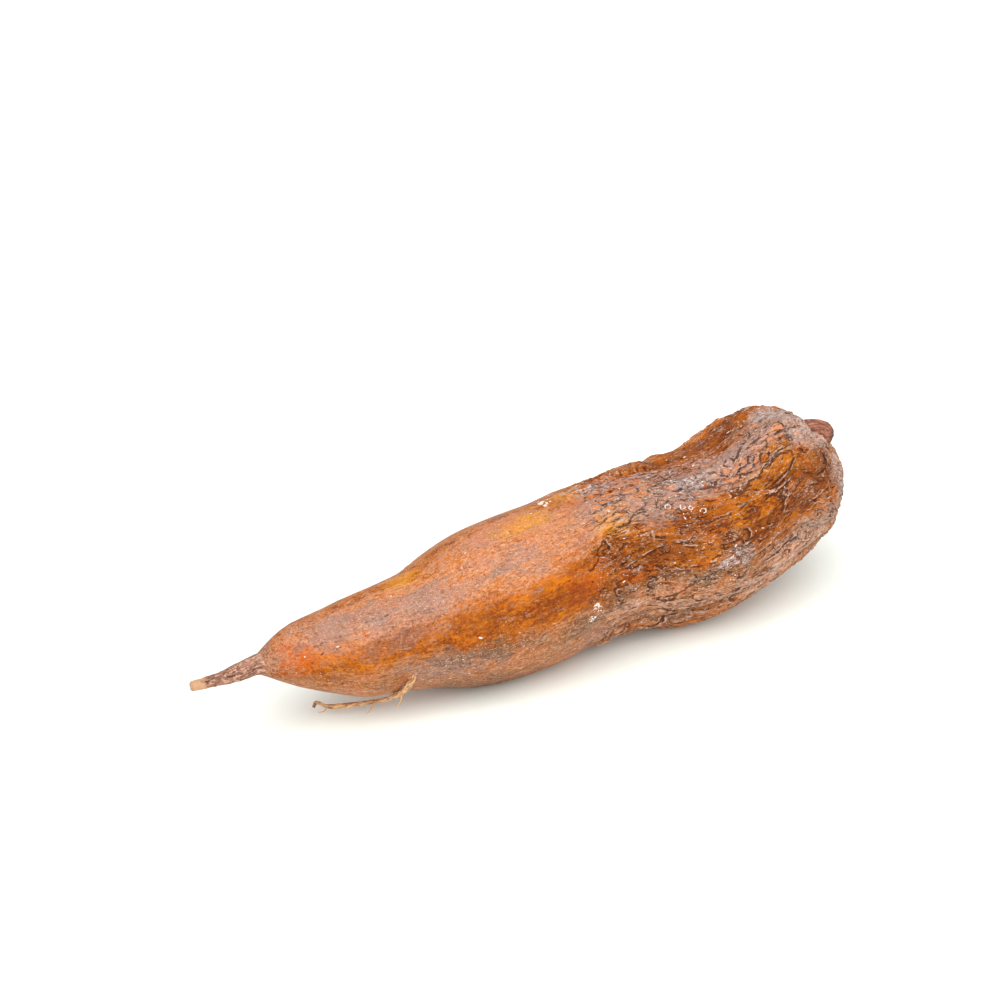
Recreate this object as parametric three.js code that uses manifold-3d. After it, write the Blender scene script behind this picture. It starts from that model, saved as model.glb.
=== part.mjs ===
// A whole cassava root, lying on its side as it comes from the ground.
// Millimetres, +Z up. The root runs along X: the thin tail points to -X, and the head, with the
// stub of the stalk that joined it to the plant, is at +X. The origin is on the surface that the
// root lies on, under the middle of its bounding box.
//
// The root grew as one piece, so it is one solid: the swollen body, its tail, the stalk's stub and
// one fibrous side root are fused. The bark is smooth towards the tail. Past the crook it lies in
// long folds and is split by long grooves, which are drawn a little wider than life.

import * as THREE from "three";
import { mergeVertices } from "three/addons/utils/BufferGeometryUtils.js";
import Module from "manifold-3d";

const wasm = await Module();
wasm.setup();

// The body as rings square to X, from the tail's neck to the head:
// the ring's centre x, y, z, then its half width across and its half height.
const BODY = [
  [-112.5, 0, 30, 3.1, 3.1],
  [-109.5, 0, 30, 4.9, 4.9],
  [-104, 0, 29.7, 8.2, 8.1],
  [-96, 0, 28.6, 12.1, 11.9],
  [-87, -0.5, 27.2, 15.3, 14.8],
  [-75, -1, 25.8, 18.4, 18],
  [-62, -1, 25.8, 20, 19.5],
  [-50, -1.5, 26, 21.8, 21],
  [-38, -1, 26.6, 25.2, 24.3],
  [-24, 0, 27.1, 27.8, 27.4],
  [-8, 0, 28.3, 28.8, 28.9],
  [8, 1, 29.3, 29, 29.2],
  [22, 3.5, 30.1, 28.8, 29.3],
  [34, 4, 30.6, 28.8, 29],
  [46, 3, 30, 30.4, 30.4],
  [60, 1, 30.2, 31.4, 30.9],
  [74, 0, 31.5, 31.8, 30.1],
  [88, 2, 34.2, 32.4, 30.6],
  [101, 4, 37.7, 32.2, 31.6],
  [113, 6, 38, 30.2, 29.1],
  [125, 8, 37.2, 24.8, 21.9],
  [133, 8.5, 38, 18.2, 15],
  [137, 8.5, 39, 11.6, 9.6],
  [138.4, 8.5, 41.5, 4, 4],
  [139, 8.5, 42, 0.6, 0.6],
];
const BODY_RINGS = 80;
const BODY_SIDES = 62;
const RING_CROWDING = 0.13;

// Tail, stub and side root as round stations: centre x, y, z, then radius.
// The first station of each is sunk into the body. Each has its number of rings and of sides.
const TAIL = [
  [-101, 0, 29.8, 3.4],
  [-110, 0, 30.2, 3.6],
  [-114, 0, 30.2, 3.2],
  [-119, 0.2, 29.4, 3],
  [-125, 0.3, 28.9, 2.2],
  [-131, 0.2, 29, 1.75],
  [-137.4, 0, 29.4, 1.5],
];
const TAIL_GRID = [12, 12];
const STUB = [
  [122, 10, 50.5, 5.6],
  [127.5, 7.6, 55.4, 5.2],
  [131.5, 5.8, 55.4, 4.8],
  [134.4, 4.4, 53.9, 4.4],
  [135.8, 4, 53.2, 3],
];
const STUB_GRID = [7, 16];
const SIDE_ROOT = [
  [-60, -14, 20.5, 1.8],
  [-62.6, -19.3, 17.9, 1.35],
  [-64.4, -17.8, 14.2, 1.05],
  [-65.6, -13.5, 10.4, 0.95],
  [-67.4, -9.5, 7.1, 0.85],
  [-72, -6.3, 5.8, 0.8],
  [-80.3, -3.6, 5.7, 0.75],
  [-86.7, -0.8, 6, 0.65],
  [-89.6, 1.6, 7, 0.6],
  [-90.6, 1.2, 5.6, 0.5],
];
const SIDE_ROOT_GRID = [24, 8];

// The crook, where the smooth skin gives way to split bark: its place over the middle line, how
// far it slants back to the front, and how far the change takes.
const CROOK_X = 19;
const CROOK_SLANT = 0.35;
const CROOK_BLEND = 16;
// The share of the bark's relief that is left on the smooth half.
const SMOOTH_SHARE = 0.12;
// The crease along the crook, which starts and is full this far out to the front.
const CREASE_WIDTH = 5;
const CREASE_DEPTH = 1.5;
const CREASE_START = 5;
const CREASE_FULL = 25;
// The pucker that the side root grows out of.
const PUCKER = new THREE.Vector3(-62.8, -19.5, 18);
const PUCKER_RADIUS = 6;
const PUCKER_DEPTH = 1.3;
// Grooves that split the bark: their length, how far apart they lie, how deep they are, and how
// steep their flanks are, where 1 would be the whole way between two grooves.
const GROOVE_LENGTH = 40;
const GROOVE_WIDTH = 9;
const GROOVE_DEPTH = 1.2;
const GROOVE_FLANK = 0.35;
const GROOVE_SEED = 11;
// Long folds under the bark of the head.
const FOLD_LENGTH = 70;
const FOLD_WIDTH = 13;
const FOLD_HEIGHT = 1.2;
const FOLD_SEED = 4;
// Broad swellings of the whole root.
const SWELL_LENGTH = 46;
const SWELL_WIDTH = 32;
const SWELL_HEIGHT = 1.5;
const SWELL_SEED = 1;
// The relief fades in over this length behind the tail's neck, and between these half heights.
const NECK_FADE = 10;
const THIN = 3;
const STOUT = 15;
// The relief fades out this far above the surface, so that the root lies on plain flat spots.
const CALM_HEIGHT = 3.5;
// The floor that the root lies on, as a block with its top at height 0.
const FLOOR_REACH = 400;
// The middle of the bounding box, which the origin is moved to.
const MIDDLE_X = 0.75;
const MIDDLE_Y = 3.17;

// A repeatable number from 0 to 1 for a lattice point.
function chance(i, j, k, seed) {
  const v = Math.sin(i * 127.1 + j * 311.7 + k * 74.7 + seed * 53.3) * 43758.5453;
  return v - Math.floor(v);
}

function ease(from, to, v) {
  const t = Math.min(1, Math.max(0, (v - from) / (to - from)));
  return t * t * (3 - 2 * t);
}

// Smooth lattice noise from -1 to 1.
function noise(x, y, z, seed) {
  const [i, j, k] = [Math.floor(x), Math.floor(y), Math.floor(z)];
  const [fx, fy, fz] = [ease(0, 1, x - i), ease(0, 1, y - j), ease(0, 1, z - k)];
  let sum = 0;
  for (const di of [0, 1])
    for (const dj of [0, 1])
      for (const dk of [0, 1]) {
        const share = (di ? fx : 1 - fx) * (dj ? fy : 1 - fy) * (dk ? fz : 1 - fz);
        sum += share * chance(i + di, j + dj, k + dk, seed);
      }
  return 2 * sum - 1;
}

// A smooth curve through rows of numbers, with knots as far apart as the rows are.
// It gives the whole length and the row at any length along it.
function through(rows) {
  const knots = [0];
  for (let i = 1; i < rows.length; i++) {
    const step = Math.hypot(...rows[i].map((v, f) => v - rows[i - 1][f]));
    knots.push(knots[i - 1] + step);
  }
  const slopes = rows.map((row, i) => {
    const [a, b] = [Math.max(0, i - 1), Math.min(rows.length - 1, i + 1)];
    if (a === i || b === i) return row.map((_, f) => (rows[b][f] - rows[a][f]) / (knots[b] - knots[a]));
    const [before, after] = [knots[i] - knots[a], knots[b] - knots[i]];
    return row.map((v, f) => {
      const [left, right] = [(v - rows[a][f]) / before, (rows[b][f] - v) / after];
      return (left * after + right * before) / (before + after);
    });
  });
  const at = (length) => {
    let i = knots.findIndex((k) => k > length) - 1;
    if (i < 0) i = rows.length - 2;
    const span = knots[i + 1] - knots[i];
    const t = (length - knots[i]) / span;
    const [t2, t3] = [t * t, t * t * t];
    return rows[i].map(
      (v, f) =>
        (2 * t3 - 3 * t2 + 1) * v +
        (t3 - 2 * t2 + t) * span * slopes[i][f] +
        (3 * t2 - 2 * t3) * rows[i + 1][f] +
        (t3 - t2) * span * slopes[i + 1][f],
    );
  };
  return { length: knots[knots.length - 1], at };
}

// A closed skin over rings of points, from ring(0) to ring(rings), with a point closing each end.
function skin(ring, rings, sides, start, end) {
  const points = [start];
  for (let i = 0; i <= rings; i++) points.push(...ring(i / rings, sides));
  points.push(end);
  const index = [];
  const at = (i, j) => 1 + i * sides + (j % sides);
  for (let j = 0; j < sides; j++) {
    index.push(0, at(0, j + 1), at(0, j));
    index.push(points.length - 1, at(rings, j), at(rings, j + 1));
    for (let i = 0; i < rings; i++) {
      index.push(at(i, j), at(i, j + 1), at(i + 1, j + 1));
      index.push(at(i, j), at(i + 1, j + 1), at(i + 1, j));
    }
  }
  return new THREE.BufferGeometry().setFromPoints(points).setIndex(index);
}

// How high the bark stands at a point of the body. The place is given as the length along the
// body and the offset from its centre line, so that the bark's pattern follows the root.
function barkHeight(point, along, across, up) {
  const stretched = (length, width, seed) => noise(along / length, across / width, up / width, seed);
  const past = point.x - CROOK_X - CROOK_SLANT * across;
  const split = ease(-CROOK_BLEND / 2, CROOK_BLEND / 2, past);
  const crease = Math.exp(-((past / CREASE_WIDTH) ** 2)) * ease(CREASE_START, CREASE_FULL, -across);
  const pucker = Math.exp(-((point.distanceTo(PUCKER) / PUCKER_RADIUS) ** 2));
  const fold = 1 - 2 * Math.abs(stretched(FOLD_LENGTH, FOLD_WIDTH, FOLD_SEED));
  const away = Math.abs(stretched(GROOVE_LENGTH, GROOVE_WIDTH, GROOVE_SEED));
  const groove = 1 - ease(0, GROOVE_FLANK, away);
  const bark = FOLD_HEIGHT * fold - GROOVE_DEPTH * groove;
  const swell = SWELL_HEIGHT * stretched(SWELL_LENGTH, SWELL_WIDTH, SWELL_SEED);
  const hollow = CREASE_DEPTH * crease + PUCKER_DEPTH * pucker;
  return swell + (SMOOTH_SHARE + (1 - SMOOTH_SHARE) * split) * bark - hollow;
}

// Rings of the body's surface, which lie closer together towards the head.
function bodyRings() {
  const curve = through(BODY);
  const base = (along, angle) => {
    const [x, y, z, wide, high] = curve.at(Math.min(curve.length, Math.max(0, along)));
    return new THREE.Vector3(x, y + wide * Math.cos(angle), z + high * Math.sin(angle));
  };
  return (share, sides) => {
    const along = curve.length * (share + RING_CROWDING * Math.sin(Math.PI * share));
    const [, , , wide, high] = curve.at(Math.min(along, curve.length));
    const points = [];
    for (let j = 0; j < sides; j++) {
      const angle = (2 * Math.PI * j) / sides;
      const point = base(along, angle);
      const forward = base(along + 0.5, angle).sub(base(along - 0.5, angle));
      const round = base(along, angle + 0.01).sub(base(along, angle - 0.01));
      const outward = round.cross(forward).normalize();
      const height = barkHeight(point, along, wide * Math.cos(angle), high * Math.sin(angle));
      const calm = ease(0, CALM_HEIGHT, point.z) * ease(0, NECK_FADE, along) * ease(THIN, STOUT, high);
      points.push(point.addScaledVector(outward, height * calm));
    }
    return points;
  };
}

// Rings of a round limb, square to its own centre line.
function limbRings(rows) {
  const curve = through(rows);
  const centre = (along) => new THREE.Vector3(...curve.at(along).slice(0, 3));
  return (share, sides) => {
    const along = share * curve.length;
    const ahead = centre(Math.min(curve.length, along + 0.2));
    const forward = ahead.sub(centre(Math.max(0, along - 0.2))).normalize();
    const side = new THREE.Vector3(0, 0, 1).cross(forward).normalize();
    const rise = forward.clone().cross(side);
    const radius = curve.at(along)[3];
    const points = [];
    for (let j = 0; j < sides; j++) {
      const angle = (2 * Math.PI * j) / sides;
      const point = centre(along).addScaledVector(side, radius * Math.cos(angle));
      points.push(point.addScaledVector(rise, radius * Math.sin(angle)));
    }
    return points;
  };
}

function ends(rows) {
  return [rows[0], rows[rows.length - 1]].map((row) => new THREE.Vector3(...row.slice(0, 3)));
}

function solid(geometry) {
  return new wasm.Manifold(
    new wasm.Mesh({
      numProp: 3,
      vertProperties: new Float32Array(geometry.getAttribute("position").array),
      triVerts: new Uint32Array(geometry.index.array),
    }),
  );
}

function geometryOf(manifold) {
  const mesh = manifold.getMesh();
  const geometry = new THREE.BufferGeometry();
  geometry.setAttribute("position", new THREE.BufferAttribute(mesh.vertProperties, 3));
  geometry.setIndex(new THREE.BufferAttribute(mesh.triVerts, 1));
  geometry.computeVertexNormals();
  return geometry;
}

const body = solid(skin(bodyRings(), BODY_RINGS, BODY_SIDES, ...ends(BODY)));
const tail = solid(skin(limbRings(TAIL), ...TAIL_GRID, ...ends(TAIL)));
const stub = solid(skin(limbRings(STUB), ...STUB_GRID, ...ends(STUB)));
const sideRoot = solid(skin(limbRings(SIDE_ROOT), ...SIDE_ROOT_GRID, ...ends(SIDE_ROOT)));

// The floor trims the underside to the flat spots that the root lies on.
const floorBox = new THREE.BoxGeometry(FLOOR_REACH, FLOOR_REACH, FLOOR_REACH);
floorBox.translate(0, 0, -FLOOR_REACH / 2);
floorBox.deleteAttribute("normal").deleteAttribute("uv");
const floor = solid(mergeVertices(floorBox));

const root = body.add(tail).add(stub).add(sideRoot).subtract(floor);
const rootMesh = new THREE.Mesh(
  geometryOf(root),
  new THREE.MeshStandardMaterial({ color: 0xa5673c, roughness: 0.6, metalness: 0 }),
);
rootMesh.name = "cassava_root";
rootMesh.position.set(-MIDDLE_X, -MIDDLE_Y, 0);

const part = new THREE.Group();
part.add(rootMesh);
export default part;
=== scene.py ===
"""A whole raw cassava root, lying on its side, finished for a close look.

The root grew as one piece, so every mesh here rides on the part's one body and stands for its one
solid. Its form follows the same rings and the same formulas as the solid, on a much finer mesh, and
the bark's own detail comes on top: cracks with raised rims, plates, peeled patches, wrinkles and wax.

Sizes are in millimetres in the root's own drawing frame, and become metres when a mesh is made.
"""

import logging
import random
from dataclasses import dataclass, field
from enum import Enum, IntEnum
from typing import Any

import bpy
import numpy as np
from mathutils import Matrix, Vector


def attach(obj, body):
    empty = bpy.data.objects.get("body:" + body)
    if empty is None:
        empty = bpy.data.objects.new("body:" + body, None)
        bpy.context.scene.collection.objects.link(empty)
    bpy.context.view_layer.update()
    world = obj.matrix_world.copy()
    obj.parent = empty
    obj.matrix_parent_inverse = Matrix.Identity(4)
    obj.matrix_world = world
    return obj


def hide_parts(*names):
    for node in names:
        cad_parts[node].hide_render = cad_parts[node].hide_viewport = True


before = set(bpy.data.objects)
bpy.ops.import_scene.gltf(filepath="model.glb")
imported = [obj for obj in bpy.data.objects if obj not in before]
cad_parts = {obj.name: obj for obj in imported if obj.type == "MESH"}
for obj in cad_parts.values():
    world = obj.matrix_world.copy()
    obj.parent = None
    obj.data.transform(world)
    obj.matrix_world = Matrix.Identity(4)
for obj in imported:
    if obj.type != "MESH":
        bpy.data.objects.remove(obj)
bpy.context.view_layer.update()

LOG = logging.getLogger("cassava_root")
MM = 0.001
NODE = "cassava_root"
BODY_NAME = "root"

# The middle of the solid's bounding box in the drawing frame, where the shared origin lies.
MIDDLE = np.array([0.75, 3.17, 0.0])

# The body's rings, square to X, from the tail's neck to the head: centre x, y, z, half width, half height.
BODY_ROWS = (
    (-112.5, 0, 30, 3.1, 3.1),
    (-109.5, 0, 30, 4.9, 4.9),
    (-104, 0, 29.7, 8.2, 8.1),
    (-96, 0, 28.6, 12.1, 11.9),
    (-87, -0.5, 27.2, 15.3, 14.8),
    (-75, -1, 25.8, 18.4, 18),
    (-62, -1, 25.8, 20, 19.5),
    (-50, -1.5, 26, 21.8, 21),
    (-38, -1, 26.6, 25.2, 24.3),
    (-24, 0, 27.1, 27.8, 27.4),
    (-8, 0, 28.3, 28.8, 28.9),
    (8, 1, 29.3, 29, 29.2),
    (22, 3.5, 30.1, 28.8, 29.3),
    (34, 4, 30.6, 28.8, 29),
    (46, 3, 30, 30.4, 30.4),
    (60, 1, 30.2, 31.4, 30.9),
    (74, 0, 31.5, 31.8, 30.1),
    (88, 2, 34.2, 32.4, 30.6),
    (101, 4, 37.7, 32.2, 31.6),
    (113, 6, 38, 30.2, 29.1),
    (125, 8, 37.2, 24.8, 21.9),
    (133, 8.5, 38, 18.2, 15),
    (137, 8.5, 39, 11.6, 9.6),
    (138.4, 8.5, 41.5, 4, 4),
    (139, 8.5, 42, 0.6, 0.6),
)
# The tail, the stalk's stub and the side root: centre x, y, z, then radius.
TAIL_ROWS = (
    (-101, 0, 29.8, 3.4),
    (-110, 0, 30.2, 3.6),
    (-114, 0, 30.2, 3.2),
    (-119, 0.2, 29.4, 3),
    (-125, 0.3, 28.9, 2.2),
    (-131, 0.2, 29, 1.75),
    (-137.4, 0, 29.4, 1.5),
)
STUB_ROWS = (
    (122, 10, 50.5, 5.6),
    (127.5, 7.6, 55.4, 5.2),
    (131.5, 5.8, 55.4, 4.8),
    (134.4, 4.4, 53.9, 4.4),
    (135.8, 4, 53.2, 3),
)
SIDE_ROOT_ROWS = (
    (-60, -14, 20.5, 1.8),
    (-62.6, -19.3, 17.9, 1.35),
    (-64.4, -17.8, 14.2, 1.05),
    (-65.6, -13.5, 10.4, 0.95),
    (-67.4, -9.5, 7.1, 0.85),
    (-72, -6.3, 5.8, 0.8),
    (-80.3, -3.6, 5.7, 0.75),
    (-86.7, -0.8, 6, 0.65),
    (-89.6, 1.6, 7, 0.6),
    (-90.6, 1.2, 5.6, 0.5),
)
# The hair roots that grow from the side root, each in the same way.
HAIR_ROWS = (
    ((-65, -16.5, 12.5, 0.4), (-66.5, -18.5, 11, 0.3), (-69, -20, 9.8, 0.15)),
    ((-71, -6.8, 5.9, 0.4), (-72.5, -8.6, 4.6, 0.3), (-75.5, -9.6, 3.8, 0.15)),
    ((-80, -3.8, 5.7, 0.4), (-81.5, -5.6, 6.6, 0.3), (-84.5, -6.4, 7.2, 0.15)),
    ((-86, -1, 6, 0.35), (-88.4, -2.6, 5.4, 0.25), (-91, -3, 5.8, 0.12)),
)


class Seed(IntEnum):
    """Which draw each pattern of the bark is. The first three are the solid's own."""

    SWELL = 1
    FOLD = 4
    GROOVE = 11
    STROKE_SWAY = 22
    STROKE_TREMBLE = 23
    STROKE_SHIFT = 24
    STROKE_FRAY = 25
    NETWORK_FRAY = 39
    NETWORK_TREMBLE = 40
    NETWORK_SWAY = 41
    SCALY = 42
    RIFT = 43
    PLATE_WARP = 44
    PLATE = 45
    PLATE_GAPS = 46
    PEEL_GAPS = 47
    WRINKLE = 51
    CRUMB = 52
    FINE_WRINKLE = 53
    FINE_CRUMB = 54
    PATCH_SWAY = 61
    PATCH_TREMBLE = 62
    PORE = 71


def ease(low: float, high: float, value: np.ndarray) -> np.ndarray:
    """Goes smoothly from 0 at low to 1 at high, also where high is the smaller one.

    Args:
        low: where the result is 0.
        high: where the result is 1.
        value: the numbers to judge.

    Returns:
        Numbers from 0 to 1.
    """
    t = np.clip((value - low) / (high - low), 0, 1)
    return t * t * (3 - 2 * t)


def chance(i: np.ndarray, j: np.ndarray, k: np.ndarray, seed: float) -> np.ndarray:
    """Gives each lattice point a repeatable number from 0 to 1.

    Args:
        i: the lattice point's first index.
        j: the second.
        k: the third.
        seed: another number gives another draw.

    Returns:
        Numbers from 0 to 1.
    """
    v = np.sin(i * 127.1 + j * 311.7 + k * 74.7 + seed * 53.3) * 43758.5453
    return v - np.floor(v)


def noise(place: np.ndarray, seed: float) -> np.ndarray:
    """Smooth lattice noise.

    Args:
        place: points, one row each, in lattice steps.
        seed: another number gives another draw.

    Returns:
        Numbers from -1 to 1, one for each point.
    """
    low = np.floor(place)
    share = ease(0, 1, place - low)
    total = np.zeros(len(place))
    for di in (0, 1):
        for dj in (0, 1):
            for dk in (0, 1):
                step = np.array([di, dj, dk])
                weight = np.prod(np.where(step == 1, share, 1 - share), axis=1)
                total += weight * chance(*(low + step).T, seed)
    return 2 * total - 1


@dataclass
class Cells:
    """What each point knows of the cell that it lies in.

    Attributes:
        mark: a number from 0 to 1 for the cell.
        edge: how far the next cell is; 0 is on the border.
        offset: from the cell's middle to the point, in lattice steps.
    """

    mark: np.ndarray
    edge: np.ndarray
    offset: np.ndarray


def cells(place: np.ndarray, seed: float) -> Cells:
    """Finds the cell round each point, among cells grown from one jittered middle per lattice cube.

    Args:
        place: points, one row each, in lattice steps.
        seed: another number gives another draw.

    Returns:
        The cells' marks, edges and offsets.
    """
    low = np.floor(place)
    first = np.full(len(place), 9.0)
    second = np.full(len(place), 9.0)
    mark = np.zeros(len(place))
    offset = np.zeros((len(place), 3))
    for di in (-1, 0, 1):
        for dj in (-1, 0, 1):
            for dk in (-1, 0, 1):
                cube = (low + np.array([di, dj, dk])).T
                middle = np.stack([cube[axis] + chance(*cube, seed + axis) for axis in range(3)], 1)
                away = place - middle
                distance = np.linalg.norm(away, axis=1)
                nearer = distance < first
                second = np.where(nearer, first, np.minimum(second, distance))
                first = np.where(nearer, distance, first)
                mark = np.where(nearer, chance(*cube, seed + 3), mark)
                offset[nearer] = away[nearer]
    return Cells(mark, second - first, offset)


def nearest(line: np.ndarray, spots: np.ndarray) -> tuple[np.ndarray, np.ndarray, np.ndarray]:
    """Finds how points in a plane lie against a bent line.

    Args:
        line: the line's corners, one row each.
        spots: the points, one row each.

    Returns:
        For each point, how far the line is, on which side of it the point lies (1 or -1), and at
        what share of its corners.
    """
    best = np.full(len(spots), np.inf)
    side = np.zeros(len(spots))
    share = np.zeros(len(spots))
    for number, (a, b) in enumerate(zip(line, line[1:])):
        run = b - a
        part = np.clip((spots - a) @ run / (run @ run), 0, 1)
        away = spots - a - part[:, None] * run
        distance = np.linalg.norm(away, axis=1)
        nearer = distance < best
        best = np.where(nearer, distance, best)
        side = np.where(nearer, -np.sign(run[0] * away[:, 1] - run[1] * away[:, 0]), side)
        share = np.where(nearer, (number + part) / (len(line) - 1), share)
    return best, side, share


def uphill(turn: Any) -> np.ndarray:
    """Gives -1 on the back half of the root, where a growing turn leads up, and 1 on the front half."""
    return np.where((turn < 90) | (turn > 270), -1, 1)


class Spine:
    """A smooth curve through rows of numbers, with knots as far apart as the rows are."""

    def __init__(self, rows: tuple[tuple[float, ...], ...]) -> None:
        """Works out the knots and the slopes.

        Args:
            rows: the numbers that the curve goes through.
        """
        self.rows = np.array(rows, float)
        self.knots = np.concatenate([[0], np.cumsum(np.linalg.norm(np.diff(self.rows, axis=0), axis=1))])
        gaps = np.diff(self.knots)[:, None]
        chords = np.diff(self.rows, axis=0) / gaps
        inner = (chords[:-1] * gaps[1:] + chords[1:] * gaps[:-1]) / (gaps[:-1] + gaps[1:])
        self.slopes = np.concatenate([chords[:1], inner, chords[-1:]])
        self.length = float(self.knots[-1])

    def half_width(self, x: float) -> float:
        """The fourth number of a row, the half width, at an x."""
        return float(np.interp(x, self.rows[:, 0], self.rows[:, 3]))

    def at(self, along: np.ndarray) -> np.ndarray:
        """Reads the curve.

        Args:
            along: lengths along the curve.

        Returns:
            A row of numbers for each length.
        """
        along = np.clip(along, 0, self.length)
        i = np.clip(np.searchsorted(self.knots, along, side="right") - 1, 0, len(self.rows) - 2)
        span = (self.knots[i + 1] - self.knots[i])[..., None]
        t = (along - self.knots[i])[..., None] / span
        t2 = t * t
        t3 = t2 * t
        start = (2 * t3 - 3 * t2 + 1) * self.rows[i] + (t3 - 2 * t2 + t) * span * self.slopes[i]
        end = (3 * t2 - 2 * t3) * self.rows[i + 1] + (t3 - t2) * span * self.slopes[i + 1]
        return start + end


@dataclass
class Skin:
    """A closed skin over rings of points, with a point closing each end.

    Attributes:
        rings: the points, as rings by sides by three.
        start: the point that closes the first ring.
        end: the point that closes the last ring.
    """

    rings: np.ndarray
    start: np.ndarray
    end: np.ndarray

    def points(self) -> np.ndarray:
        """All points in a row: the start, the rings, the end."""
        return np.concatenate([[self.start], self.rings.reshape(-1, 3), [self.end]])

    def faces(self) -> list[tuple[int, ...]]:
        """Joins the points up.

        Returns:
            The faces as tuples of point numbers, facing out.
        """
        count, sides = self.rings.shape[:2]
        ring, side = np.meshgrid(np.arange(count - 1), np.arange(sides), indexing="ij")
        after = (side + 1) % sides
        here = ring * sides
        there = here + sides
        corners = (here + side, here + after, there + after, there + side)
        quads = 1 + np.stack([c.ravel() for c in corners], 1)
        last = 1 + count * sides
        first_row = 1 + np.arange(sides)
        last_row = 1 + (count - 1) * sides + np.arange(sides)
        starts = [(0, int(b), int(a)) for a, b in zip(first_row, np.roll(first_row, -1))]
        ends = [(last, int(a), int(b)) for a, b in zip(last_row, np.roll(last_row, -1))]
        return starts + [tuple(q) for q in quads.tolist()] + ends

    def normals(self) -> np.ndarray:
        """Works out which way the surface faces.

        Returns:
            The rings' outward directions, as rings by sides by three.
        """
        round_ = np.roll(self.rings, -1, axis=1) - np.roll(self.rings, 1, axis=1)
        forward = np.gradient(self.rings, axis=0)
        outward = np.cross(round_, forward)
        return outward / (np.linalg.norm(outward, axis=2, keepdims=True) + 1e-12)


def to_linear(colour: str) -> tuple[float, float, float, float]:
    """Turns an sRGB hex colour to the linear values that shaders take.

    Args:
        colour: such as "#C98760".

    Returns:
        Red, green, blue and an alpha of 1.
    """
    parts = [int(colour[i : i + 2], 16) / 255 for i in (1, 3, 5)]
    red, green, blue = (c / 12.92 if c <= 0.04045 else ((c + 0.055) / 1.055) ** 2.4 for c in parts)
    return (red, green, blue, 1.0)


def put(
    tree: bpy.types.NodeTree, kind: str, inputs: dict[Any, Any] | None = None, **settings: Any
) -> bpy.types.Node:
    """Adds one node with its settings and links.

    Args:
        tree: the node tree that gets the node.
        kind: the node's type name without its ShaderNode prefix.
        inputs: socket names or numbers, each with a value or another node's output socket.
        **settings: the node's own properties.

    Returns:
        The new node.
    """
    node = tree.nodes.new("ShaderNode" + kind)
    for name, value in settings.items():
        setattr(node, name, value)
    for name, value in (inputs or {}).items():
        if isinstance(value, bpy.types.NodeSocket):
            tree.links.new(value, node.inputs[name])
        else:
            node.inputs[name].default_value = value
    return node


def make_piece(
    name: str,
    points: np.ndarray,
    faces: list[tuple[int, ...]],
    material: bpy.types.Material,
    values: dict[str, np.ndarray],
) -> bpy.types.Object:
    """Makes a smooth mesh in metres in the shared frame, and has it ride on the root.

    Args:
        name: the piece's name.
        points: places in millimetres in the drawing frame.
        faces: tuples of point numbers.
        material: the piece's finish.
        values: a number or three for each point, by attribute name.

    Returns:
        The new object.
    """
    mesh = bpy.data.meshes.new(name)
    mesh.from_pydata(((points - MIDDLE) * MM).tolist(), [], faces)
    mesh.polygons.foreach_set("use_smooth", np.ones(len(mesh.polygons), bool))
    for label, numbers in values.items():
        if numbers.ndim == 1:
            mesh.attributes.new(label, "FLOAT", "POINT").data.foreach_set("value", numbers.astype(np.float32))
        else:
            flat = numbers.astype(np.float32).ravel()
            mesh.attributes.new(label, "FLOAT_VECTOR", "POINT").data.foreach_set("vector", flat)
    mesh.materials.append(material)
    mesh.update()
    piece = bpy.data.objects.new(name, mesh)
    bpy.context.scene.collection.objects.link(piece)
    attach(piece, BODY_NAME)
    LOG.info("%s: %d faces", name, len(mesh.polygons))
    return piece


class Tint(Enum):
    """What a patch of the bark is like, by the name of the attribute that carries it."""

    PEEL = "peel"
    AMBER = "amber"
    PEACH = "peach"
    TAN = "tan"
    ORANGE = "orange"
    BLOOM = "bloom"
    SOOT = "soot"
    YELLOW = "yellow"
    UMBER = "umber"
    FROST = "frost"
    CHALK = "chalk"


@dataclass(frozen=True)
class Patch:
    """A patch of the bark with one tint.

    Attributes:
        tint: what the patch is like.
        x: its middle along the root.
        turn: its middle round the root in degrees, from the back (0) over the top (90) to the front (180).
        length: half its extent along the root.
        width: half its extent round the root.
    """

    tint: Tint
    x: float
    turn: float
    length: float
    width: float


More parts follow.
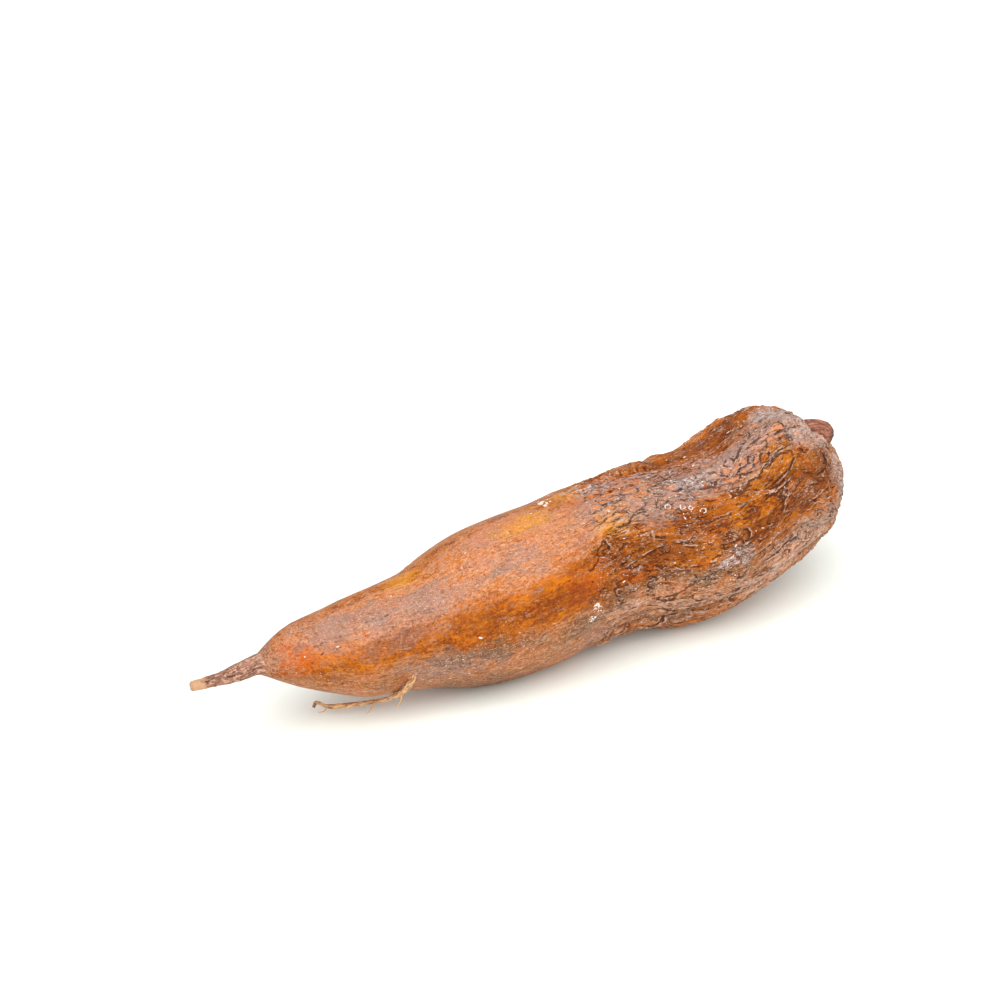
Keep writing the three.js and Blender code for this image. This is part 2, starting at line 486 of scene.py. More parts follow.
# Where the bark differs from its general colour, read off the root. For each patch: its middle's
# x and turn, then half its extent along the root and round it.
SEEN_PATCHES = {
    Tint.PEEL: (
        (94, 132, 9, 4.5), (80, 149, 12, 6), (112, 140, 7, 5), (52, 161, 19, 4), (36, 156, 10, 3.5),
        (97, 118, 7, 2.5), (76, 129, 7, 2), (17, 142, 4, 3),
    ),
    Tint.AMBER: (
        # The first amber patch, on the head's top edge, is painted shade from a root lying against it.
        (80, 74, 29, 9), (27, 92, 18, 6), (66, 150, 30, 14), (104, 152, 24, 14), (30, 158, 18, 8),
        (-28, 150, 24, 7), (-4, 158, 28, 9), (-50, 162, 18, 6), (-86, 164, 22, 8),
    ),
    Tint.PEACH: (
        (-16, 112, 38, 17), (-70, 122, 36, 13), (40, 112, 26, 10), (106, 104, 22, 11),
        (74, 108, 24, 10), (6, 205, 13, 4),
    ),
    Tint.TAN: (
        (-60, 196, 46, 9), (0, 190, 44, 9), (60, 186, 50, 9), (-30, 210, 60, 9), (62, 206, 54, 10),
        (112, 184, 22, 7),
    ),
    Tint.ORANGE: (
        (15, 150, 7, 4), (29, 166, 8, 3), (-103, 160, 9, 6), (5, 158, 9, 5), (58, 162, 9, 4),
    ),
    Tint.BLOOM: (
        (60, 104, 13, 7), (42, 126, 9, 5), (92, 103, 20, 5), (-87, 116, 9, 5), (-71, 122, 10, 6),
        (-63, 150, 7, 3), (-51, 124, 11, 5), (-16, 124, 9, 4), (-48, 190, 14, 5),
    ),
    Tint.SOOT: (
        (17, 175, 9, 4), (36, 171, 10, 3), (51, 174, 7, 2.5), (62, 177, 11, 3), (-34, 182, 16, 4),
        (2, 186, 8, 3), (116, 184, 9, 3), (127, 172, 5, 3),
    ),
    Tint.YELLOW: (
        (94, 129, 8, 4.5), (79, 145, 7, 4), (12, 84, 8, 3), (-55, 84, 8, 5), (-6, 96, 12, 5),
        (26, 128, 8, 4),
    ),
    Tint.UMBER: (
        (-72, 152, 14, 3), (-58, 146, 8, 3), (110, 150, 9, 6), (120, 152, 8, 8), (42, 159, 14, 4),
        # The umber patch at x 82, turn 76, on the head's top edge, is painted shade like the first amber one.
        (20, 152, 8, 5), (-4, 160, 12, 4), (-34, 158, 12, 3), (82, 76, 22, 7), (68, 158, 7, 3),
        (114, 142, 8, 6), (119, 132, 5, 4), (92, 158, 8, 3),
    ),
    Tint.FROST: (
        (86, 202, 14, 2.4), (118, 183, 9, 2), (130, 154, 6, 10), (62, 108, 8, 5), (28, 86, 14, 2.5),
        (66, 88, 12, 3), (120, 108, 12, 8), (106, 90, 8, 4), (66, 172, 4, 1.8),
    ),
    Tint.CHALK: (
        (84, 205, 22, 6), (106, 191, 24, 8), (128, 158, 8, 9), (118, 112, 15, 11), (104, 97, 16, 8),
        (50, 199, 16, 3), (22, 190, 9, 3), (-108, 150, 7, 5),
    ),
}
PATCHES = tuple(Patch(tint, *row) for tint, rows in SEEN_PATCHES.items() for row in rows)


@dataclass(frozen=True)
class Stroke:
    """A crack in the bark with a raised rim.

    Attributes:
        points: x in millimetres and the turn in degrees, from one end to the other.
        strength: how dark and deep it is, up to 1.
        rim: how far the bark above it is raised, up to 1.
    """

    points: tuple[tuple[float, float], ...]
    strength: float = 1
    rim: float = 1


# The cracks and seams that stand out on the side seen, read off the root.
STROKES = (
    Stroke(((97, 113), (103, 110), (110, 110), (117, 107)), 0.9, 0.4),
    Stroke(((76, 120), (81, 125), (86, 128), (90, 123.5), (94, 122), (98, 124.5), (102, 127.5)), 1, 1),
    Stroke(((102, 128), (102.4, 132), (99.5, 136), (95.4, 136.5), (91, 136.5), (86, 137.5)), 1, 1),
    Stroke(((72, 125), (77, 125), (81, 128)), 1, 0.5),
    Stroke(((84, 141), (89, 143), (95, 144), (101, 142)), 0.7, 1),
    Stroke(((79, 101), (82, 106), (86, 104), (91, 98)), 1, 0.6),
    Stroke(((92, 121), (98, 122), (103, 122)), 0.8, 0.8),
    Stroke(((78, 114), (82, 117), (86, 122)), 0.9, 0.4),
    Stroke(((67, 104), (72, 106), (74, 111), (77, 114)), 0.9, 0.5),
    Stroke(((63, 117), (67, 115), (71, 116)), 0.8, 0.5),
    Stroke(((92, 172), (102, 171), (110, 169), (118, 170), (126, 167)), 0.5, 1),
    Stroke(((90, 185), (94, 184), (98, 186), (103, 182)), 1, 0.3),
    Stroke(((112, 187), (117, 184), (125, 182)), 1, 0.3),
    Stroke(((90, 165), (94, 163), (100, 161)), 0.8, 0.9),
    Stroke(((21, 117), (26, 114), (31, 112), (39, 110)), 0.8, 0.2),
    Stroke(((22, 133), (27, 132), (31, 130), (34, 126), (38, 122), (43, 120)), 0.8, 0.2),
    Stroke(((62, 115), (66, 116), (72, 114)), 0.9, 0.5),
    Stroke(((48, 131), (52, 132), (55, 130)), 0.8, 0.7),
    Stroke(((61, 125), (64, 128), (68, 129)), 0.8, 0.4),
    Stroke(((6, 149), (10, 151), (13, 147), (14, 140), (17, 137), (20, 137)), 0.9, 0.3),
    Stroke(((19, 161), (25, 161), (31, 158), (36, 156), (42, 153), (47, 152)), 0.8, 1),
    Stroke(((47, 154), (51, 157), (56, 156)), 0.6, 1),
    Stroke(((21, 147), (26, 145), (31, 146)), 0.9, 0.3),
    Stroke(((40, 169), (45, 172), (51, 170), (62, 171), (74, 168)), 0.6, 1),
    Stroke(((60, 140), (67, 141), (74, 139)), 0.6, 0.8),
    Stroke(((104, 152), (110, 154), (118, 152)), 0.7, 0.6),
    Stroke(((-24, 208), (-19, 208.5)), 0.3, 1),
    Stroke(((-15, 209), (-9, 208)), 0.3, 1),
    Stroke(((-6, 207), (-1, 209.5)), 0.3, 1),
    Stroke(((2, 212), (8, 214)), 0.3, 1),
    Stroke(((-4, 200), (1, 201)), 0.3, 0.9),
)


@dataclass
class Lay:
    """Where each point of the body's surface lies, seen along the root.

    Attributes:
        place: the undisplaced points.
        straight: the length along the root, then the offset across and up from its centre line.
        turn: degrees round the root, from the back over the top.
        radius: the body's half width there.
        high: the body's half height there.
        rings: how many rings the points lie in.
    """

    place: np.ndarray
    straight: np.ndarray
    turn: np.ndarray
    radius: np.ndarray
    high: np.ndarray
    rings: int

    def away(self, value: np.ndarray) -> np.ndarray:
        """Turns a value to a distance, by how steep it is.

        Args:
            value: a number for each point.

        Returns:
            How far each point is from where the value is 0, in millimetres, above or below it.
        """
        grid = value.reshape(self.rings, -1)
        place = self.place.reshape(*grid.shape, 3)
        ahead = np.linalg.norm(np.roll(place, -1, 0) - np.roll(place, 1, 0), axis=2) + 1e-6
        aside = np.linalg.norm(np.roll(place, -1, 1) - np.roll(place, 1, 1), axis=2) + 1e-6
        along = (np.roll(grid, -1, 0) - np.roll(grid, 1, 0)) / ahead
        round_ = (np.roll(grid, -1, 1) - np.roll(grid, 1, 1)) / aside
        steep = np.hypot(along, round_).ravel()
        return value / (steep + 0.12 * steep.mean())

    def stretched(self, length: float, width: float) -> np.ndarray:
        """The points in lattice steps of the given length along the root and width round it."""
        return self.straight / np.array([length, width, width])

    def past(self, turn: float) -> np.ndarray:
        """How far round the root each point lies past a turn, in radians."""
        return np.radians((self.turn - turn + 180) % 360 - 180)


@dataclass
class Growth:
    """Patches and cracks for the sides of the root that no picture shows, and small ones all round.

    Two numbers in brackets are the ends of a range. A turn above 360 has gone once round.

    Attributes:
        seed: another number gives another draw.
        patch_count: how many coloured patches there are.
        patch_x: where they lie along the root.
        patch_turn: where they lie round it.
        patch_length: half the extent along the root of one of middling size.
        patch_width: half its extent round the root.
        patch_scale: how much smaller or larger one may be.
        peel_count: how many peeled patches there are, and the same sizes for them.
        crack_tries: how many cracks are started on the head half.
        crack_x: where they start along the root.
        crack_reach: how long they want to be.
        crack_step: how far apart their points are.
        crook_end: up to this x cracks are half as long.
        dash_tries: how many short dashes are started on the smooth half, and the same for them.
        dash_strength: how dark and deep dashes are.
        first_slant: how far a crack slants off the root's run at its start, mostly.
        slant_kept: the share of the slant that the next step keeps.
        slant_change: how much each step changes it, mostly.
        last_x: no crack goes on past here.
        cell: the size of the squares that earlier cracks are looked up in.
        spacing: how near two cracks may come.
        squeeze: how much nearer two may come end to end than side by side.
    """

    seed: int = 7
    patch_count: int = 46
    patch_x: tuple[float, float] = (-95, 122)
    patch_turn: tuple[float, float] = (224, 418)
    patch_length: float = 20
    patch_width: float = 8
    patch_scale: tuple[float, float] = (0.6, 1.2)
    peel_count: int = 12
    peel_x: tuple[float, float] = (28, 118)
    peel_turn: tuple[float, float] = (236, 412)
    peel_length: float = 10
    peel_width: float = 4
    crack_tries: int = 900
    crack_x: tuple[float, float] = (13, 134)
    crack_reach: tuple[float, float] = (5, 22)
    crack_step: float = 1.6
    crook_end: float = 26
    dash_tries: int = 420
    dash_x: tuple[float, float] = (-104, 20)
    dash_reach: tuple[float, float] = (1.2, 4)
    dash_step: float = 1
    dash_strength: tuple[float, float] = (0.2, 0.6)
    first_slant: float = 0.16
    slant_kept: float = 0.75
    slant_change: float = 0.17
    last_x: float = 136
    cell: float = 4
    spacing: float = 1.8
    squeeze: float = 0.6

    def patches(self) -> list[Patch]:
        """Draws random patches for the back and the underside.

        Returns:
            The patches.
        """
        draw = random.Random(self.seed)
        kinds = (Tint.AMBER, Tint.AMBER, Tint.PEACH, Tint.PEACH, Tint.TAN, Tint.TAN, Tint.BLOOM, Tint.SOOT)
        found = []
        for number in range(self.patch_count):
            turn = draw.uniform(*self.patch_turn) % 360
            size = draw.uniform(*self.patch_scale)
            x = draw.uniform(*self.patch_x)
            tint = kinds[number % len(kinds)]
            found.append(Patch(tint, x, turn, self.patch_length * size, self.patch_width * size))
        for _ in range(self.peel_count):
            x = draw.uniform(*self.peel_x)
            turn = draw.uniform(*self.peel_turn) % 360
            found.append(Patch(Tint.PEEL, x, turn, self.peel_length, self.peel_width))
        return found

    def strokes(self, spine: Spine) -> list[Stroke]:
        """Random cracks on the head half and short dashes on the smooth half.

        Args:
            spine: the body's rows, for how wide the root is.

        Returns:
            Cracks that keep clear of one another.
        """
        draw = random.Random(self.seed + 1)
        taken: dict[tuple[int, int], list[tuple[float, float]]] = {}

        def cell_of(x: float, girth: float) -> tuple[int, int]:
            """The square that a place lies in."""
            return int(x // self.cell), int(girth // self.cell)

        def free(x: float, girth: float) -> bool:
            """Looks for earlier cracks near a place.

            Args:
                x: how far along the root it is.
                girth: how far round it, in millimetres.

            Returns:
                Whether there is none.
            """
            row, column = cell_of(x, girth)
            for i in (-1, 0, 1):
                for j in (-1, 0, 1):
                    for a, b in taken.get((row + i, column + j), []):
                        if np.hypot((a - x) * self.squeeze, b - girth) < self.spacing:
                            return False
            return True

        def claim(points: list[tuple[float, float]]) -> None:
            """Keeps later cracks away from some points.

            Args:
                points: the x and the turn of each.
            """
            for x, turn in points:
                girth = np.radians(turn) * spine.half_width(x)
                taken.setdefault(cell_of(x, girth), []).append((x, girth))

        for stroke in STROKES:
            for (x0, t0), (x1, t1) in zip(stroke.points, stroke.points[1:]):
                claim([(x0 + (x1 - x0) * k / 4, t0 + (t1 - t0) * k / 4) for k in range(5)])
        found = []
        for number in range(self.crack_tries + self.dash_tries):
            is_crack = number < self.crack_tries
            step = self.crack_step if is_crack else self.dash_step
            x = draw.uniform(*(self.crack_x if is_crack else self.dash_x))
            turn = draw.uniform(0, 360)
            reach = draw.uniform(*(self.crack_reach if is_crack else self.dash_reach))
            if is_crack and x < self.crook_end:
                reach *= 0.5
            slant = draw.gauss(0, self.first_slant)
            points = []
            while reach > 0 and x < self.last_x:
                radius = spine.half_width(x)
                if not free(x, np.radians(turn) * radius):
                    break
                points.append((x, turn))
                slant = self.slant_kept * slant + draw.gauss(0, self.slant_change)
                x += step
                turn += np.degrees(slant * step / max(radius, 4))
                reach -= step
            if len(points) > 1:
                claim(points)
                if is_crack:
                    strength = 0.2 + 0.8 * draw.betavariate(1.3, 2.2)
                else:
                    strength = draw.uniform(*self.dash_strength)
                found.append(Stroke(tuple(points), strength, draw.uniform(0.1, 1) * strength))
        return found


@dataclass
class Bark:
    """The relief of the bark and what covers it.

    The first group of sizes is the solid's own. The second is the fine detail that comes on top.
    A length lies along the root and a width round it. A rift is one layer of the fine network of
    cracks, with its length, its width and its strength.
    """

    crook_x: float = 19
    crook_slant: float = 0.35
    crook_blend: float = 16
    smooth_share: float = 0.12
    crease_width: float = 5
    crease_depth: float = 1.5
    crease_start: float = 5
    crease_full: float = 25
    pucker: tuple[float, float, float] = (-62.8, -19.5, 18)
    pucker_radius: float = 6
    pucker_depth: float = 1.3
    groove_length: float = 40
    groove_width: float = 9
    groove_depth: float = 1.2
    groove_flank: float = 0.35
    fold_length: float = 70
    fold_width: float = 13
    fold_height: float = 1.2
    swell_length: float = 46
    swell_width: float = 32
    swell_height: float = 1.5
    neck_fade: float = 10
    thin: float = 3
    stout: float = 15
    calm_height: float = 3.5

    floor_fade: float = 1.6
    neck_start: float = -99
    neck_full: float = -112
    head_start: float = 104
    head_full: float = 126
    cap_start: float = 128
    cap_full: float = 136
    patch_reach: float = 6
    wrinkle_length: float = 9
    wrinkle_width: float = 2.2
    wrinkle_height: float = 0.26
    crumb_length: float = 2.6
    crumb_width: float = 1.3
    crumb_height: float = 0.2
    stroke_margin: tuple[float, float] = (3, 4)
    crack_width: float = 0.42
    crack_depth: float = 0.36
    rim_away: float = 0.68
    rim_width: float = 0.36
    rim_height: float = 0.24
    peel_depth: float = 0.35
    rifts: tuple[tuple[float, float, float], ...] = (
        (30, 6, 0.9),
        (13, 3.4, 0.8),
        (6, 2, 0.75),
        (3.4, 1.3, 0.6),
    )
    plate_length: float = 9
    plate_width: float = 4.2
    pore_spacing: float = 7.5
    pore_radius: float = 0.9
    pore_height: float = 0.2
    pore_rarity: float = 0.45

    marks: dict[str, np.ndarray] = field(default_factory=dict)

    def patches(self, lay: Lay, patches: tuple[Patch, ...], tint: Tint) -> np.ndarray:
        """How far inside a tint's patches each point is.

        Args:
            lay: the points.
            patches: all patches.
            tint: which of them to read.

        Returns:
            Millimetres, at most the patches' reach either way; below 0 is outside.
        """
        reach = self.patch_reach
        wobble = 1.8 * noise(lay.stretched(13, 6), Seed.PATCH_SWAY)
        wobble += 1.1 * noise(lay.stretched(5, 2.6), Seed.PATCH_TREMBLE)
        total = np.full(len(lay.place), -reach, float)
        for patch in (p for p in patches if p.tint is tint):
            ahead = (lay.place[:, 0] - patch.x) / patch.length
            distance = np.hypot(ahead, lay.past(patch.turn) * lay.radius / patch.width)
            total = np.maximum(total, (1 - distance) * patch.width)
        return np.clip(total + wobble * (total > 1 - reach), -reach, reach)

    def lines(self, lay: Lay, strokes: list[Stroke], spine: Spine) -> tuple[np.ndarray, np.ndarray]:
        """Draws the cracks.

        Args:
            lay: the points.
            strokes: the cracks.
            spine: the body's rows, for how wide the root is.

        Returns:
            How near each point is to a crack, and to a crack's raised rim, from 0 to 1.
        """
        crack = np.zeros(len(lay.place))
        rim = np.zeros(len(lay.place))
        x = lay.place[:, 0] + 0.5 * noise(lay.stretched(3, 1.5), Seed.STROKE_SHIFT)
        sway = 0.75 * noise(lay.stretched(4, 3), Seed.STROKE_SWAY)
        sway += 0.3 * noise(lay.stretched(1.3, 1.3), Seed.STROKE_TREMBLE)
        fray = ease(-0.8, 0.2, noise(lay.stretched(2.5, 2.5), Seed.STROKE_FRAY))
        for stroke in strokes:
            knots = np.array(stroke.points, float)
            middle_x, middle_turn = knots.mean(axis=0)
            radius = spine.half_width(middle_x)
            line = np.stack([knots[:, 0], np.radians(knots[:, 1] - middle_turn) * radius], 1)
            girth = lay.past(middle_turn) * radius + sway
            low = line.min(axis=0) - self.stroke_margin
            high = line.max(axis=0) + self.stroke_margin
            near = np.flatnonzero((x > low[0]) & (x < high[0]) & (girth > low[1]) & (girth < high[1]))
            distance, side, share = nearest(line, np.stack([x[near], girth[near]], 1))
            taper = (ease(0, 0.3, share) * ease(1, 0.7, share) * 0.6 + 0.4) * (0.6 + 0.4 * fray[near])
            cut = np.exp(-((distance / (self.crack_width * 1.2)) ** 2))
            crack[near] = np.maximum(crack[near], stroke.strength * taper * cut)
            signed = distance * side * uphill(middle_turn % 360)
            raised = np.exp(-(((signed - self.rim_away) / self.rim_width) ** 2))
            rim[near] = np.maximum(rim[near], stroke.rim * taper * raised * fray[near])
        return crack, rim

    def network(
        self, lay: Lay, split: np.ndarray, crack: np.ndarray, rim: np.ndarray
    ) -> tuple[np.ndarray, np.ndarray]:
        """Adds the fine network of cracks: long rifts, the borders of plates and of peeled patches.

        Args:
            lay: the points.
            split: how split the bark is, from 0 to 1.
            crack: how near each point is to a crack so far.
            rim: how near it is to a raised rim so far.

        Returns:
            The same two with the network's lines.
        """

        def draw(away: np.ndarray, share: np.ndarray, width: float) -> None:
            """Adds lines where a signed distance is 0, with a lip on the side where it is above 0.

            Args:
                away: the distance.
                share: how strong they are, up to 1.
                width: how wide they are, where a crack has 1.
            """
            nonlocal crack, rim
            crack = np.maximum(crack, share * np.exp(-((away / (self.crack_width * width)) ** 2)))
            lip = np.exp(-(((away - self.rim_away * width) / (self.rim_width * width)) ** 2))
            rim = np.maximum(rim, share * lip)

        jitter = 0.4 * noise(lay.stretched(1.9, 1.3), Seed.NETWORK_SWAY)
        jitter += 0.22 * noise(lay.stretched(0.9, 0.7), Seed.NETWORK_TREMBLE)
        fray = 0.45 + 0.55 * ease(-0.5, 0.4, noise(lay.stretched(2.2, 1.8), Seed.NETWORK_FRAY))
        scaly = np.maximum(self.marks[Tint.PEACH.value], self.marks[Tint.BLOOM.value])
        scaly = ease(-1.5, 2.5, scaly + 2 * noise(lay.stretched(16, 8), Seed.SCALY)) * split
        for number, (length, width, strength) in enumerate(self.rifts):
            seed = Seed.RIFT + 3 * number
            value = noise(lay.stretched(length, width), seed)
            value += 0.35 * noise(lay.stretched(length / 3, width / 2), seed + 1)
            broken = ease(-0.15, 0.35, noise(lay.stretched(length * 0.6, width * 1.5), seed + 2))
            share = strength * broken * fray * (0.1 + 0.9 * split) * (1 - 0.6 * scaly * (number < 2))
            draw((lay.away(value) + jitter) * uphill(lay.turn), share, 1.2 - 0.15 * number)
        warp = 0.3 * noise(lay.stretched(5, 3), Seed.PLATE_WARP)[:, None] * np.array([0.5, 1, 1])
        plate = cells(lay.stretched(self.plate_length, self.plate_width) + warp, Seed.PLATE)
        gap = np.abs(lay.away(plate.edge)) + 0.5 * jitter
        torn = ease(-0.5, 0.1, noise(lay.stretched(4, 3), Seed.PLATE_GAPS))
        draw(gap, 0.95 * scaly * torn * fray, 0.9)
        self.marks["plate"] = plate.mark
        self.marks["seam"] = ease(1.5, 0.4, gap)
        self.marks["scaly"] = scaly
        border = self.marks[Tint.PEEL.value] + 2 * jitter
        draw(-border, split * fray * ease(-0.6, 0.2, noise(lay.stretched(5, 4), Seed.PEEL_GAPS)), 1.0)
        return crack, rim

    def height(self, lay: Lay, spine: Spine) -> np.ndarray:
        """How high the bark stands at each point, and on the way, what covers it.

        Args:
            lay: the points of the body.
            spine: the body's rows.

        Returns:
            Heights along the surface's outward direction.
        """
        x, z = lay.place[:, 0], lay.place[:, 2]
        across = lay.straight[:, 1]
        past = x - self.crook_x - self.crook_slant * across
        split = ease(-self.crook_blend / 2, self.crook_blend / 2, past)
        crease = np.exp(-((past / self.crease_width) ** 2))
        crease *= ease(self.crease_start, self.crease_full, -across)
        to_pucker = np.linalg.norm(lay.place - np.array(self.pucker), axis=1)
        pucker = np.exp(-((to_pucker / self.pucker_radius) ** 2))
        hollow = self.crease_depth * crease + self.pucker_depth * pucker

        swell = noise(lay.stretched(self.swell_length, self.swell_width), Seed.SWELL)
        fold = noise(lay.stretched(self.fold_length, self.fold_width), Seed.FOLD)
        away = np.abs(noise(lay.stretched(self.groove_length, self.groove_width), Seed.GROOVE))
        groove = 1 - ease(0, self.groove_flank, away)
        bark = self.fold_height * (1 - 2 * np.abs(fold)) - self.groove_depth * groove
        share = self.smooth_share + (1 - self.smooth_share) * split
        calm = ease(0, self.calm_height, z) * ease(0, self.neck_fade, lay.straight[:, 0])
        coarse = self.swell_height * swell + share * bark - hollow

        self.marks["split"] = split
        self.marks["neck"] = ease(self.neck_start, self.neck_full, x)
        self.marks["groove"] = groove * split
        fine = self.fine(lay, spine, split) * ease(0, self.floor_fade, z)
        return coarse * calm * ease(self.thin, self.stout, lay.high) + fine

    def fine(self, lay: Lay, spine: Spine, split: np.ndarray) -> np.ndarray:
        """The relief that is too fine for the solid.

        Args:
            lay: the points of the body.
            spine: the body's rows.
            split: how split the bark is, from 0 to 1.

        Returns:
            Heights along the surface's outward direction.
        """
        growth = Growth()
        patches = PATCHES + tuple(growth.patches())
        for tint in Tint:
            self.marks[tint.value] = self.patches(lay, patches, tint)
        peel = ease(-0.5, 0.6, self.marks[Tint.PEEL.value]) * split
        crack, rim = self.lines(lay, list(STROKES) + growth.strokes(spine), spine)
        crack, rim = self.network(lay, split, crack, rim)

        length, width = self.wrinkle_length, self.wrinkle_width
        wrinkle = 1 - 2 * np.abs(noise(lay.stretched(length, width), Seed.WRINKLE))
        wrinkle += 0.5 * noise(lay.stretched(length / 2, width / 1.6), Seed.FINE_WRINKLE)
        length, width = self.crumb_length, self.crumb_width
        crumb = 1 - 2 * np.abs(noise(lay.stretched(length, width), Seed.CRUMB))
        crumb += noise(lay.stretched(length / 1.7, width / 1.4), Seed.FINE_CRUMB)
        pores = cells(lay.straight / self.pore_spacing, Seed.PORE)
        to_pore = np.linalg.norm(pores.offset, axis=1) * self.pore_spacing
        pore = np.exp(-((to_pore / self.pore_radius) ** 2)) * (pores.mark > self.pore_rarity)

        head = 0.6 * ease(self.head_start, self.head_full, lay.place[:, 0])
        cap = 1 - 0.5 * ease(self.cap_start, self.cap_full, lay.place[:, 0])
        rough = (0.06 + 0.94 * split + head) * (1 - 0.4 * peel) * cap
        self.marks["crack"] = crack
        self.marks["rim"] = rim
        self.marks["crumb"] = (0.5 * wrinkle + 0.4 * crumb) * (0.4 + 0.6 * rough)
        return (
            self.rim_height * rim
            - self.crack_depth * crack
            - self.peel_depth * peel
            + self.wrinkle_height * rough * wrinkle
            + self.crumb_height * rough * crumb
            + self.pore_height * pore * (1 - 0.5 * split)
        )


@dataclass(frozen=True)
class Spot:
    """A place on the finished bark.

    Attributes:
        place: the point.
        outward: the bark's outward direction there.
        forward: the direction along the root.
    """

    place: np.ndarray
    outward: np.ndarray
    forward: np.ndarray


@dataclass
class Body:
    """The swollen body of the root, from the tail's neck to the head, as meshes that meet.

    Attributes:
        rings: how many rings of points it has.
        sides: how many points a ring has.
        joins: the rings between which each mesh lies.
        crowding: how much closer the rings lie at the head.
        bark: its relief.
        skin: its finished surface.
        straight: for each point of it, the length along the root and the offset across and up.
    """

    rings: int = 720
    sides: int = 520
    joins: tuple[int, ...] = (0, 180, 360, 540, 720)
    crowding: float = 0.13
    bark: Bark = field(default_factory=Bark)
    skin: Skin | None = None
    straight: np.ndarray | None = None

    def base(self, spine: Spine, along: np.ndarray, angle: np.ndarray) -> np.ndarray:
        """Points of the undisplaced body at lengths along it and angles round it."""
        x, y, z, wide, high = np.moveaxis(spine.at(along), -1, 0)
        return np.stack([x, y + wide * np.cos(angle), z + high * np.sin(angle)], -1)

    def shape(self) -> None:
        """Works out the skin and what covers each of its points."""
        spine = Spine(BODY_ROWS)
        share = np.linspace(0, 1, self.rings + 1)
        along_ring = spine.length * np.minimum(share + self.crowding * np.sin(np.pi * share), 1)
        angle_side = 2 * np.pi * np.arange(self.sides) / self.sides
        along, angle = np.meshgrid(along_ring, angle_side, indexing="ij")
        wide, high = np.moveaxis(spine.at(along), -1, 0)[3:]
        place = self.base(spine, along, angle)
        ahead, aside = 0.5, 0.01
        forward = self.base(spine, along + ahead, angle) - self.base(spine, along - ahead, angle)
        round_ = self.base(spine, along, angle + aside) - self.base(spine, along, angle - aside)
        outward = np.cross(round_, forward)
        outward /= np.linalg.norm(outward, axis=2, keepdims=True)
        straight = np.stack([along, wide * np.cos(angle), high * np.sin(angle)], -1)
        lay = Lay(
            place.reshape(-1, 3),
            straight.reshape(-1, 3),
            np.degrees(angle).ravel(),
            wide.ravel(),
            high.ravel(),
            self.rings + 1,
        )
        height = self.bark.height(lay, spine).reshape(along.shape)
        rings = place + outward * height[..., None]
        rings[..., 2] = np.maximum(rings[..., 2], 0)
        self.skin = Skin(rings, np.array(BODY_ROWS[0][:3], float), np.array(BODY_ROWS[-1][:3], float))
        self.straight = straight

    def part(self, name: str, first: int, last: int, material: bpy.types.Material) -> None:
        """Makes the mesh of the rings from first to last, which stands for the solid.

        Args:
            name: the piece's name.
            first: its first ring.
            last: its last ring.
            material: the bark.
        """
        kept = slice(first, last + 1)
        whole = {label: v.reshape(self.rings + 1, self.sides) for label, v in self.bark.marks.items()}
        values = {label: v[kept].ravel() for label, v in whole.items()}
        values["lay"] = self.straight[kept].reshape(-1, 3)
        skin = Skin(self.skin.rings[kept], self.skin.start, self.skin.end)
        points = skin.points()
        faces = skin.faces()
        normals = self.skin.normals()[kept].reshape(-1, 3)
        if last < self.rings:
            points = points[:-1]
            faces = faces[: -self.sides]
        else:
            normals = np.concatenate([normals, [(1.0, 0, 0)]])
            values = {label: np.concatenate([v, v[-1:]]) for label, v in values.items()}
        if first > 0:
            points = points[1:]
            faces = [tuple(i - 1 for i in face) for face in faces[self.sides :]]
        else:
            normals = np.concatenate([[(-1.0, 0, 0)], normals])
            values = {label: np.concatenate([v[:1], v]) for label, v in values.items()}
        piece = make_piece(name, points, faces, material, values)
        piece.data.normals_split_custom_set_from_vertices(normals.tolist())
        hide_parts(NODE)

    def spot(self, x: float, turn: float) -> Spot:
        """Finds a place on the finished bark.

        Args:
            x: how far along the root.
            turn: how far round it, in degrees.

        Returns:
            The spot.
        """
        side = int(round(turn / 360 * self.sides)) % self.sides
        column = self.skin.rings[:, side]
        ring = int(np.clip(np.argmin(np.abs(column[:, 0] - x)), 2, self.rings - 2))
        forward = column[ring + 2] - column[ring - 2]
        round_ = self.skin.rings[ring, (side + 2) % self.sides] - self.skin.rings[ring, side - 2]
        outward = np.cross(round_, forward)
        return Spot(column[ring], outward / np.linalg.norm(outward), forward / np.linalg.norm(forward))

    def build(self, material: bpy.types.Material) -> None:
        """Makes the body's meshes.

        Args:
            material: the bark.
        """
        self.shape()
        names = ("bark_by_the_tail", "bark_of_the_middle", "bark_of_the_shoulder", "bark_of_the_head")
        for name, first, last in zip(names, self.joins, self.joins[1:]):
            self.part(name, first, last, material)


